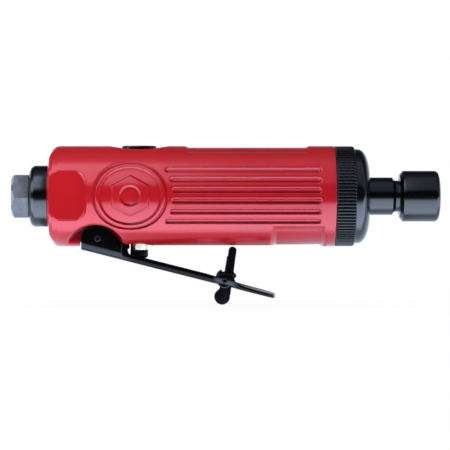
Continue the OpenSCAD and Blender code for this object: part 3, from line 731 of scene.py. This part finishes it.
def housing():
    around = 840
    step = 0.24
    # stations are closer together over the rear rounding
    stations = [CASING_REAR_X]
    while stations[-1] < 18.0:
        stations.append(stations[-1] + (0.05 if stations[-1] < 15.3 else 0.12))
    count = int((CASING_FRONT_X - stations[-1]) / step)
    stations += list(np.linspace(stations[-1], CASING_FRONT_X, count)[1:])
    circle = np.linspace(0, 2 * np.pi, around, endpoint=False)
    x, angle = np.meshgrid(np.array(stations), circle, indexing="ij")
    r = housing_radius(x, angle)
    rings = [np.stack([x, r * np.sin(angle), r * np.cos(angle)], -1).reshape(-1, 3)]
    # front seam face and spigot
    for ring_x in (CASING_FRONT_X, 130.4):
        ring = [np.full(around, ring_x), SPIGOT_R * np.sin(circle), SPIGOT_R * np.cos(circle)]
        rings.append(np.stack(ring, -1))
    verts = np.concatenate(rings)
    faces = ring_faces(len(stations) + 2, around).reshape(-1, 4).tolist()
    faces.append([len(verts) - around + q for q in range(around)])
    faces.append([around - 1 - q for q in range(around)])
    ob = mesh_object("body_casting", verts, faces, 60)
    # painted shade for the paint colour, kept as a point attribute
    dark = painted_cavity_shade(x, angle, r)
    values = np.zeros(len(verts), dtype=np.float32)
    values[:dark.size] = dark.reshape(-1)
    ob.data.attributes.new("painted_shade", "FLOAT", "POINT").data.foreach_set("value", values)
    return cut(ob, housing_cutters(), 60)


place(housing(), "red_paint", "housing", "casing")

# ---------------------------------------------------------------- inlet end
# Turned profiles from here on are (along, radius) or (along, radius, corner rounding).

HEX_ACROSS_FLATS = 15.875


def inlet_hex():
    ob = prism("inlet_hex", arc(0, 0, HEX_ACROSS_FLATS / math.sqrt(3), range(5, 365, 60)),
               0.0, 6.64, axis="X")
    chamfer = [(-0.01, 0), (-0.01, 6.95), (1.38, 9.35), (6.65, 9.35), (6.65, 0)]
    cut(ob, [turn("cutter", chamfer, 160)], op="INTERSECT")
    shank = [(6.5, 0), (6.5, 7.0), (14.0, 7.0), (14.0, 6.2), (15.6, 6.2), (15.6, 5.3),
             (17.2, 5.3), (17.2, 6.2), (26.0, 6.2), (26.3, 5.9), (26.3, 0)]
    cut(ob, [turn("cutter", shank, 128)], op="UNION")
    bore = [(-1, 0), (-1, 6.6), (0.0, 6.6), (0.55, 5.6), (14.0, 5.6), (14.0, 5.0),
            (14.75, 5.0), (14.75, 4.0), (30, 4.0), (30, 0)]
    cut(ob, [turn("cutter", bore, 128)])
    return bevel(ob, width=0.16, segments=3, angle=25, sharp=30)


def is_highlight_corner(face):
    """The narrow faces along the corners of the hexagon, painted lighter as a highlight. Sizes
    are in metres.
    """
    centre, normal = face.center, face.normal
    on_hex = centre.x < 0.0067 and math.hypot(centre.y, centre.z) > 0.0075
    # angle from the nearest of six directions, at 25 degrees and every 60 from there
    off = abs((math.degrees(math.atan2(normal.z, normal.y)) + 5) % 60 - 30)
    return on_hex and face.area < 1.5e-6 and (off > 6 or abs(normal.x) > 0.15)


def exhaust_collar():
    profile = [
        (6.7, 7.05, 0.1), (6.7, 7.85, 0.15), (7.0, 9.6, 0.8), (7.7, 11.1, 0.7),
        (8.9, 11.8, 0.8), (13.95, 11.8, 0.2), (13.95, 10.9, 0.1), (8.8, 10.9, 0.3),
        (8.8, 7.9, 0.3), (13.95, 7.9, 0.1), (13.95, 7.05, 0.1),
    ]
    ob = turn("exhaust_collar", rounded(profile), 256)
    slots = []
    for a in range(-60, 61, 20):
        cos, sin = math.cos(a * DEG), math.sin(a * DEG)
        outline = [(v * cos - u * sin, v * sin + u * cos)
                   for u, v in ((-0.8, 9.35), (0.8, 9.35), (0.8, 10.8), (-0.8, 10.8))]
        slots.append(prism("cutter", outline, 6.0, 10.0, axis="X"))
    return cut(ob, slots, 30)


# the corners of the hexagon get a painted highlight
place(inlet_hex(), "nickel", "inlet_bushing", "casing", second=("nickel_edge", is_highlight_corner))
place(exhaust_collar(), "black_oxide", "exhaust_deflector", "deflector")

# ---------------------------------------------------------------- nose

KNURL_COUNT = 90
KNURL_DEPTH = 0.62


def quarter(points, start=0.0):
    return np.linspace(start, math.pi / 2, points)


def front_clamp_nut():
    """Knurled ring that runs into a rounded nose."""
    profile = [(124.36, 17.7), (124.36, 18.55)]
    profile += [(124.36 + 0.55 * (1 - math.cos(a)), 18.75 + 0.5 * math.sin(a))
                for a in quarter(5)]
    profile += [(x, 19.25) for x in np.linspace(125.3, 131.0, 16)]
    profile += [(131.1 + 0.8 * math.sin(a), 18.55 + 0.7 * math.cos(a)) for a in quarter(6, 0.1)]
    profile += [(131.92, 18.25), (132.05, 18.2), (132.5, 18.19), (133.0, 18.17)]
    profile += [(133.4 + 4.25 * math.sin(a), 9.65 + 8.5 * math.cos(a)) for a in quarter(26)]
    profile += [(137.65, 8.3), (137.6, 7.85), (137.4, 7.64), (134.4, 7.64), (134.4, 9.9),
                (132.2, 9.9), (132.2, 12.4), (130.45, 12.4), (130.45, 17.7)]

    def knurl(x, r, angle):
        band = smooth_step(124.2, 124.9, x) * smooth_step(131.95, 131.2, x) * (r > 18.3)
        phase = np.abs(((angle * KNURL_COUNT / (2 * np.pi)) % 1.0) - 0.5) * 2
        return band * KNURL_DEPTH * smooth_step(0.35, 1.0, phase)

    return turn("front_clamp_nut", profile, KNURL_COUNT * (12), knurl, 50)


def is_knurled(face):
    """Sizes are in metres."""
    return face.center.x < 0.1318 and math.hypot(face.center.y, face.center.z) > 0.0179


def collet_jaws():
    profile = [
        (143.1, 3.175, 0.1), (143.1, 4.42, 0.1), (159.8, 5.385), (160.7, 5.385),
        (160.7, 5.9, 0.1), (161.2, 5.9, 0.1), (163.5, 4.55, 0.1), (164.3, 4.45, 0.12),
        (164.3, 3.175, 0.15),
    ]
    ob = turn("collet_jaws", rounded(profile, 4), 128)
    slot = [(-8, -0.35), (8, -0.35), (8, 0.35), (-8, 0.35)]
    for outline in (slot, [(-b, a) for a, b in slot]):
        cut(ob, [prism("cutter", outline, 147, 167, axis="X")], 30)
    return ob


SPINDLE_NOSE = [
    (126.75, 3.83), (126.75, 7.0, 0.2), (127.1, 7.24, 0.2), (146.7, 7.24, 0.12),
    (146.85, 7.0, 0.1), (147.15, 6.45, 0.6), (147.9, 6.05, 0.5), (149.3, 6.0, 0.05),
    (149.5, 6.6, 0.05), (159.9, 6.6, 0.1), (160.3, 6.2, 0.1), (160.3, 5.45), (143.0, 4.45),
    (142.5, 3.83),
]
COLLET_CAP = [
    (149.45, 6.65, 0.1), (149.45, 8.15, 0.3), (150.75, 9.8, 0.7), (163.35, 9.8, 0.7),
    (164.25, 9.2, 0.6), (164.75, 7.9, 0.5), (164.75, 5.2, 0.2), (164.3, 4.66, 0.1),
    (163.5, 4.62), (161.2, 5.98), (160.55, 6.65),
]

place(front_clamp_nut(), "black_oxide", "clamp_nut", "casing",
      second=("black_knurl", is_knurled))
place(turn("spindle_nose", rounded(SPINDLE_NOSE)),
      "black_oxide", "collet_body", "spindle", "black_satin")
place(turn("collet_cap_nut", rounded(COLLET_CAP, 6), 224),
      "black_oxide", "collet_nut", "collet_cap", "black_satin")
place(collet_jaws(), "ground_steel", "collet", "collet_sleeve")

# ---------------------------------------------------------------- regulator


def speed_plug():
    profile = [
        (5.6, 0), (5.6, 5.2, 0.2), (12.1, 5.2), (12.1, 6.7, 0.1), (12.9, 6.7), (12.9, 5.9),
        (14.3, 5.9), (14.3, 6.7), (15.05, 6.7), (15.05, 6.0), (16.15, 6.0), (16.15, 6.7),
        (19.35, 6.7, 0.45), (19.35, 0),
    ]
    ob = turn("speed_plug", rounded(profile), 160, axis="Z", origin=(VALVE_X, 0, 0))
    top_slot = box_cutter((VALVE_X - 4.2, -0.7, 18.2), (VALVE_X + 4.2, 0.7, 22))
    foot_notch = box_cutter((VALVE_X, -1.8, 5), (VALVE_X + 8, 1.8, 8))
    cut(ob, [top_slot, foot_notch], 30)
    return bevel(ob, width=0.1, segments=2, angle=40, sharp=30)


place(speed_plug(), "black_oxide", "regulator", "speed_plug")

# ---------------------------------------------------------------- lever
# A sloping channel. Its x and z are offsets from the pivot pin.

LEVER_SHEET = 1.6
LEVER_HALF = 6.2
LEVER_DEPTH = 5.75                   # from the pivot to the underside, square to the slope
LEVER_END = 6.3                      # length of the rounding at either end
TIP_X = 72.0 * SLOPE_COS - 5.0 * SLOPE_SIN

# (x, z) along the top of the ears
EAR_TOP = [(-6.3, 0.6)] + [
    (6.3 * math.cos(a * DEG), 0.6 + 4.4 * math.sin(a * DEG)) for a in range(172, 88, -6)
] + [
    (1.3, 4.93), (2.6, 4.55), (4.0, 3.75), (5.4, 2.6), (7.0, 1.0), (8.6, -0.9), (9.4, -1.75),
    (10.3, -2.3), (11.2, -2.75), (11.55, -3.3), (11.65, -5.2), (11.8, -6.1), (14, -8),
]
# (x, z) from the latch pin along the top of the lugs that carry it
LUG_TOP = [(-3.6, -1.2), (-3.1, 0.4), (-2.4, 2.2), (-1.7, 2.75), (2.6, 2.6), (3.4, 1.7),
           (4.0, 0.2), (4.6, -2.2)]
# (distance down the slope, height square to it) of the side edges elsewhere
STRIP_TOP = [(0, -STRIP_DROP), (34, -STRIP_DROP), (44, -STRIP_DROP),
             (60, -LEVER_DEPTH + LEVER_SHEET + 0.72), (72, -LEVER_DEPTH + LEVER_SHEET + 0.5)]
# (x, outer radius) of the bend between floor and sides
BEND = [(9.0, 3.0), (9.6, 1.8), (44.2, 1.8), (45.4, 2.8), (53.2, 2.8), (54.6, 1.3), (60, 0.95)]


def lookup(x, table):
    return float(np.interp(x, *zip(*table)))


def lever_top(x):
    """Height of the side edge, the ears and the lugs."""
    height = lookup((x + 3.5 * SLOPE_SIN) / SLOPE_COS, STRIP_TOP)
    along = (x - height * SLOPE_SIN) / SLOPE_COS
    top = -along * SLOPE_SIN + height * SLOPE_COS
    if x < 12.6:
        top = max(top, lookup(x, EAR_TOP))
    lug_x = x - (LATCH_X - PIVOT_X)
    if LUG_TOP[0][0] < lug_x < LUG_TOP[-1][0]:
        top = max(top, (LATCH_Z - PIVOT_Z) + lookup(lug_x, LUG_TOP))
    return top


def lever_section(x):
    """(y, z) of half the channel, from under the centre round the +Y side to the floor."""
    bottom = -LEVER_DEPTH / SLOPE_COS - x * SLOPE_TAN
    floor = bottom + LEVER_SHEET / SLOPE_COS
    top = lever_top(x)
    # the strip is a little narrower than the parts that carry the ears
    width = LEVER_HALF - 0.65 * (smooth_step(9.0, 9.5, x) - smooth_step(44.2, 45.4, x))
    into_tip = x - (TIP_X - LEVER_HALF)
    if into_tip > 0:
        round_half = math.sqrt(max(LEVER_HALF ** 2 - into_tip * into_tip, 0.0))
        width = min(width, round_half * (width / LEVER_HALF) + 0.02)
    bend = min(lookup(x, BEND), width * 0.9)
    crown = smooth_step(53.6, 57.0, x)
    sheet = min(LEVER_SHEET, width * 0.5)
    if into_tip > 0:
        # round the tip over in side view as well
        shrink = min(1.0, math.sqrt(max(0.0, 1 - (into_tip / LEVER_END) ** 16)))
        middle = (bottom + top) / 2
        bottom, top, floor = (middle + (z - middle) * shrink for z in (bottom, top, floor))
    inner_bend = max(bend - sheet, 0.25)
    # rounding of the top edge: its height and its width
    edge = min(0.38 + 0.42 * crown, sheet * 0.45 + 0.3 * crown, max(0.05, (top - bottom) * 0.45),
               0.45 * width)
    edge_y = min(edge + 0.45 * crown, width * 0.7)
    top = max(top, floor + 0.02)
    inside = top - floor

    # outer bend, side and top edge
    sweep = 0.05
    if top - edge > bottom:
        sweep = math.acos(max(-1, min(1, 1 - min(top - edge - bottom, bend) / bend)))
    half = [(0.0, bottom)]
    half += [(width - bend + bend * math.sin(a), bottom + bend - bend * math.cos(a))
             for a in np.linspace(0, sweep, 8)]
    outer_y = half[-1][0]
    half.append((outer_y, max(half[-1][1], top - edge)))
    half += [(outer_y - edge_y + edge_y * math.cos(a), top - edge + edge * math.sin(a))
             for a in quarter(6, 0.15)]

    # inner side, inner bend and floor
    bend_y = max(width - sheet - inner_bend, 0.1 * width)
    if inside > inner_bend:
        inner_y = min(outer_y - edge_y * 1.2, bend_y + inner_bend)
    else:
        inner_y = bend_y + inner_bend * math.sin(math.acos(max(0.0, 1 - inside / inner_bend)))
    inner_y = max(0.15 * width, min(inner_y, outer_y - 1.1 * edge_y - 0.7 * edge))
    half += [(inner_y + edge * 0.7, top),
             (inner_y + 0.1 * edge, top - min(edge * 0.5, inside * 0.5))]
    sweep = math.acos(max(0.0, 1 - min(inside, inner_bend) / inner_bend)) * 0.999
    half += [(min(inner_y, bend_y + inner_bend * math.sin(a)),
              floor + inner_bend - inner_bend * math.cos(a))
             for a in np.linspace(sweep, 0, 8)]
    return half + [(0.0, floor)]


def lever_cap(first, half_count, ring_count, flip):
    """End cap in strips across the section, so that it stays inside the channel shape."""
    faces = []
    for a in range((half_count - 1) // 2):
        b = half_count - 1 - a
        quad = [a, a + 1, b - 1, b]
        right = [first + q for q in quad]
        left = [first + ((ring_count - q) % ring_count) for q in quad][::-1]
        for face in (right, left):
            face = list(dict.fromkeys(face))
            if len(face) > 2:
                faces.append(face[::-1] if flip else face)
    return faces


def lever_channel():
    stations = np.concatenate([
        -LEVER_END + LEVER_END * (1 - np.cos(quarter(18))),
        np.linspace(0, 13, 40)[1:],
        np.linspace(13, 44, 50)[1:],
        np.linspace(44, 55, 60)[1:],
        np.linspace(55, TIP_X - LEVER_END, 16)[1:],
        TIP_X - LEVER_END + 6.29 * np.sin(quarter(22))[1:],
    ])
    verts = []
    for x in stations:
        half = lever_section(x)
        ring = half + [(-y, z) for y, z in half[-2:0:-1]]
        verts += [(PIVOT_X + x, y, PIVOT_Z + z) for y, z in ring]
    faces = ring_faces(len(stations), len(ring)).reshape(-1, 4).tolist()
    faces += lever_cap(0, len(half), len(ring), False)
    faces += lever_cap(len(verts) - len(ring), len(half), len(ring), True)
    return mesh_object("throttle_paddle", verts, faces, 40, merge=0.01)


def floor_slot_cutter():
    """Rounded slot through the lever floor, set square to the slope."""
    rear, front = 51.28 - 9.9, 51.28 + 13.7
    half_width, corner = 3.95, 0.9
    x0, x1, y = rear + corner, front - corner, half_width - corner
    outline = []
    for centre_x, centre_y, start in ((x1, y, 0), (x0, y, 90), (x0, -y, 180), (x1, -y, 270)):
        outline += arc(centre_x, centre_y, corner, np.linspace(start, start + 90, 7))
    cutter = prism("cutter", outline, -7.0, -2.0, axis="Z")
    for vert in cutter.data.vertices:
        x, z = vert.co.x / MM, vert.co.z / MM
        vert.co.x = (PIVOT_X + (x * SLOPE_COS + z * SLOPE_SIN)) * MM
        vert.co.z = (PIVOT_Z + (-x * SLOPE_SIN + z * SLOPE_COS)) * MM
    return cutter


def throttle_lever():
    ob = lever_channel()
    # step at the front of each ear
    step = rounded([(10.6, -2.5), (12.0, -2.3, 0.3), (12.25, -3.1, 0.3), (12.05, -4.0, 0.3),
                    (10.6, -4.3)], 4)
    step = [(PIVOT_X + x, PIVOT_Z + z) for x, z in step]
    steps = [prism("cutter", step, *sorted((side * 4.62, side * 5.5))) for side in (1, -1)]
    cut(ob, steps, 40, op="UNION")
    holes = [cross_drill(PIVOT_X, PIVOT_Z, 1.3), cross_drill(LATCH_X, LATCH_Z, 1.105)]
    return cut(ob, holes + [floor_slot_cutter()], 40)


def roll_pin(name, x, z, radius, half_length, slit_angle):
    """Cross pin with a recess and a slit in each end."""
    bore, recess = radius * 0.55, half_length - 3.0
    profile = [
        (-recess, 0), (-recess, bore), (-half_length, bore, 0.1), (-half_length, radius, 0.28),
        (half_length, radius, 0.28), (half_length, bore, 0.1), (recess, bore), (recess, 0),
    ]
    ob = turn(name, rounded(profile, 4), 64, axis="Y", origin=(x, 0, z))
    slit = radius * 0.17
    slits = [box_cutter((0.0, y, -slit), (radius + 1, y + 2.2, slit), slit_angle, (x, z))
             for y in (-half_length - 1, half_length - 1.2)]
    return cut(ob, slits, 30)


place(throttle_lever(), "black_steel", "throttle_lever", "lever")
place(roll_pin("lever_pivot_pin", PIVOT_X, PIVOT_Z, 1.25, 6.4, -60),
      "pin_steel", "lever_pin", "casing")
place(roll_pin("latch_pivot_pin", LATCH_X, LATCH_Z, 1.1, 6.3, 20),
      "pin_steel", "latch_pin", "lever")

# ---------------------------------------------------------------- latch
# Its x and z are offsets from the latch pin.

LATCH_TILT = 8.3 * DEG
LATCH_HALF = 3.4


def on_arm(along, across):
    """Point on the upper arm, which leans to the front."""
    sin, cos = math.sin(LATCH_TILT), math.cos(LATCH_TILT)
    return 1.33 + along * sin + across * cos, along * cos - across * sin


def lock_off_latch():
    outline = [(-2.6, -0.4), (-2.7, 0.8), (-2.5, 1.9), (-1.9, 2.9), (-1.1, 3.4)]
    outline += [on_arm(*p) for p in ((3.2, -1.72), (8.7, -1.62), (8.95, -1.75), (9.15, -1.6),
                                     (9.3, -1.3))]
    outline += [on_arm(11.7 + 1.5 * math.sin(a * DEG), 0.15 + 1.5 * math.cos(a * DEG))
                for a in np.linspace(178, 8, 11)]
    outline += [on_arm(9.0, 1.62), on_arm(3.6, 1.72), (4.0, 2.75), (4.2, 1.9), (3.7, 1.0),
                (2.7, 0.0), (2.6, -2.6), (2.35, -5.2)]
    outline += arc(-0.9, -6.3, 3.0, np.linspace(10, -222, 22))
    outline += [(-1.9, -3.2), (-1.75, -2.2), (-2.3, -1.3)]
    outline = [(LATCH_X + x, LATCH_Z + z) for x, z in outline]
    ob = prism("lock_off_latch", outline, -LATCH_HALF, LATCH_HALF)
    bevel(ob, width=0.5, segments=4, angle=50, sharp=38)
    return cut(ob, [cross_drill(LATCH_X, LATCH_Z, 1.15)], 38)


def spring_coil(side, name):
    """One coil of the spring, on the -Y or +Y side."""
    start_y, pitch, turns_deg = 3.72 * side, 0.66, 540
    # rear leg, hooked over the back of the latch
    path = [(x, start_y, z) for x, z in ((-0.95, 3.75), (-1.5, 3.55), (-2.2, 3.0), (-2.7, 2.1),
                                         (-2.8, 1.0))]
    for a in np.linspace(180, 180 + turns_deg, 60):
        y = start_y + side * pitch * (a - 180) / turns_deg
        path.append((2.55 * math.cos(a * DEG), y, 2.55 * math.sin(a * DEG)))
    # front leg with a small hook
    path += [(x, y, z) for x, z in ((2.85, 0.6), (3.35, 1.15), (3.9, 1.3), (4.25, 1.75),
                                    (4.1, 2.25), (3.65, 2.3), (3.4, 1.95))]
    return tube(name, [(LATCH_X + x, y, LATCH_Z + z) for x, y, z in path], 0.4)


place(lock_off_latch(), "black_plastic", "lock_latch", "latch")
spring = spring_coil(-1, "latch_return_spring")
cut(spring, [spring_coil(1, "cutter")], 60, op="UNION")
place(spring, "spring_steel", "latch_spring", "lever")

# ---------------------------------------------------------------- valve

BUTTON_LOW_Z, DOME_R, DOME_EDGE_R = -24.3, 6.5, 3.0


def valve_spool():
    profile = [
        (-22.6, 0), (-22.6, 1.6, 0.15), (-20.7, 1.6), (-20.7, 3.35, 0.12), (-17.2, 3.35),
        (-17.2, 2.5), (-15.8, 2.5), (-15.8, 3.35), (-14.2, 3.35, 0.1), (-14.2, 1.5),
        (-1.0, 1.5, 0.15), (-1.0, 0),
    ]
    return turn("valve_spool", rounded(profile, 4), 96, axis="Z", origin=(VALVE_X, 0, 0))


def plunger_button():
    """Domed button under the valve stem."""
    seat = (-22.62, 0)
    dome = [(BUTTON_LOW_Z + DOME_R - DOME_R * math.cos(a), DOME_R * math.sin(a))
            for a in np.linspace(0, math.asin(DOME_EDGE_R / DOME_R), 10)]
    skirt = rounded([dome[-1], (-23.15, 3.45, 0.35), (-20.72, 3.45, 0.2), (-20.72, 1.61, 0.05),
                     (-22.62, 1.61)])[1:]
    return turn("plunger_button", [seat] + dome + skirt + [seat], 96, axis="Z",
                origin=(VALVE_X, 0, 0))


place(valve_spool(), "brass", "valve_stem", "valve")
place(plunger_button(), "black_plastic", "stem_button", "valve")

# ---------------------------------------------------------------- CAD nodes that stay

slots = {part["node"]: part["material_slot"] for part in frame["record"]["subparts"]}
for name, ob in frame["nodes"].items():
    if not ob.hide_render:
        ob.data.materials.clear()
        ob.data.materials.append(MATERIALS[slots[name]])

# ---------------------------------------------------------------- floor
# Metres from here on.

FLOOR_HALF, FLOOR_Z = 6.0, -0.0424


def floor_material():
    """Nearly pure white, and clear from below."""
    material = bpy.data.materials.new("floor")
    g = Graph(material, "OutputMaterial")
    matt = g.add("BsdfDiffuse", {"Color": rgba(0.9, 0.9, 0.9)})
    glow = g.add("Emission", {"Color": rgba(1, 1, 1), "Strength": 1.0})
    glow_share = 0.93
    white = g.add("MixShader", {0: glow_share, 1: matt.outputs[0], 2: glow.outputs[0]})
    clear = g.add("BsdfTransparent")
    below = g.add("NewGeometry").outputs["Backfacing"]
    both = g.add("MixShader", {0: below, 1: white.outputs[0], 2: clear.outputs[0]})
    g.fill(g.output, {0: both.outputs[0]})
    return material


def make_floor():
    mesh = bpy.data.meshes.new("floor")
    corners = [(x * FLOOR_HALF, y * FLOOR_HALF, FLOOR_Z)
               for x, y in ((-1, -1), (1, -1), (1, 1), (-1, 1))]
    mesh.from_pydata(corners, [], [(0, 1, 2, 3)])
    floor = bpy.data.objects.new("floor", mesh)
    bpy.context.scene.collection.objects.link(floor)
    mesh.materials.append(floor_material())
    floor.visible_glossy = False
    floor.visible_diffuse = False
    floor.visible_shadow = False
    floor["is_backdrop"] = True


make_floor()

# ---------------------------------------------------------------- light

# (degrees about X, brightness) of the reflected studio: 0 faces the camera, 90 is up
BANDS = [
    (-180, 0.26), (-150, 0.24), (-108, 0.26), (-98, 0.28), (-92, 0.42), (-82, 0.90),
    (-70, 1.0), (-45, 0.92), (-28, 0.80), (-20, 0.66), (-17, 0.34), (-13, 0.02), (0, 0.003),
    (22, 0.004), (27, 0.035), (32, 0.07), (60, 0.088), (88, 0.100), (97, 0.045), (118, 0.01),
    (150, 0.012), (164, 0.12), (180, 0.24),
]
BAND_GAIN = 4.6
PANEL_GAIN = 2.4
CARD_DARKENING = -0.78
AMBIENT = 1.02
AMBIENT_TILT = 0.10                  # extra from above and from the camera side
REFLECTION_TINT = rgba(0.80, 0.95, 1.22)


def make_world():
    """White to the camera, even to diffuse rays and a banded studio to reflections."""
    world = bpy.data.worlds.new("studio")
    bpy.context.scene.world = world
    world.cycles.sampling_method = "NONE"
    g = Graph(world, "OutputWorld")
    background = g.add("Background")
    g.fill(g.output, {0: background.outputs[0]})
    direction = g.split(g.add("TexCoord").outputs["Generated"])
    x = direction["X"]

    def clamp(value):
        return g.math("MINIMUM", g.math("MAXIMUM", value, 0.0), 1.0)

    def fade_in(value, zero, full):
        return clamp(g.math("DIVIDE", g.math("SUBTRACT", value, zero), full - zero))

    def fade_out(value, full, zero):
        return clamp(g.math("DIVIDE", g.math("SUBTRACT", zero, value), zero - full))

    angle = g.math("ARCTAN2", direction["Z"], g.math("MULTIPLY", direction["Y"], -1.0))
    around = g.math("ADD", g.math("DIVIDE", angle, 2 * math.pi), 0.5)
    bands = g.ramp(around, [((degrees + 180.0) / 360.0, rgba(v, v, v)) for degrees, v in BANDS])

    # a further soft panel high on the inlet side
    panel = g.math("MULTIPLY", fade_out(x, full=-0.010, zero=0.020),
                   fade_in(angle, zero=20 * DEG, full=36 * DEG))
    panel = g.math("MULTIPLY", panel, fade_out(angle, full=74 * DEG, zero=86 * DEG))

    # dark card low on the +Y side, near the middle
    card = g.math("MULTIPLY", fade_in(x, zero=-0.030, full=-0.016),
                  fade_in(x, zero=0.056, full=0.046))
    card_around = g.math("MULTIPLY", fade_in(angle, zero=-90 * DEG, full=-97 * DEG),
                         fade_in(angle, zero=-181 * DEG, full=-170 * DEG))
    card = g.math("MULTIPLY", card, card_around)
    card_shade = g.math("MULTIPLY_ADD", card, CARD_DARKENING, 1.0)
    studio = g.math("MULTIPLY_ADD", g.math("MULTIPLY", bands, BAND_GAIN), card_shade,
                    g.math("MULTIPLY", panel, PANEL_GAIN))

    tilt = g.math("MULTIPLY_ADD", direction["Z"], AMBIENT_TILT, 1.0)
    tilt = g.math("MULTIPLY_ADD", direction["Y"], -AMBIENT_TILT, tilt)
    ambient = g.math("MULTIPLY", tilt, AMBIENT)

    rays = g.add("LightPath").outputs
    glossy, camera = rays["Is Glossy Ray"], rays["Is Camera Ray"]
    light = g.math("ADD", g.math("MULTIPLY", studio, glossy),
                   g.math("MULTIPLY", ambient, g.math("SUBTRACT", 1.0, glossy)))
    light = g.math("MULTIPLY", light, g.math("SUBTRACT", 1.0, camera))
    g.fill(background, {
        "Strength": g.math("ADD", light, camera),
        "Color": g.mix(glossy, rgba(1, 1, 1), REFLECTION_TINT),
    })


make_world()

# ---------------------------------------------------------------- camera


def make_camera():
    """Long lens on the -Y side, level and square to the tool."""
    data = bpy.data.cameras.new("camera")
    data.sensor_width = 36
    data.lens = 207.2
    data.shift_x = 0.13333
    data.clip_start = 0.01
    camera = bpy.data.objects.new("camera", data)
    bpy.context.scene.collection.objects.link(camera)
    camera.location = (0.05910, -1.000, -0.01112)
    camera.rotation_euler = (90 * DEG, 0, 0)
    scene = bpy.context.scene
    scene.camera = camera
    scene.view_settings.view_transform = "Standard"
    scene.view_settings.look = "None"


make_camera()


def plain(bounds):
    """Bounds as plain floats, either flat or in rows."""
    if hasattr(bounds[0], "__len__"):
        return [[float(q) for q in row] for row in bounds]
    return [float(q) for q in bounds]


sizes = {"cad": plain(cad_bounds), "visual": plain(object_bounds())}
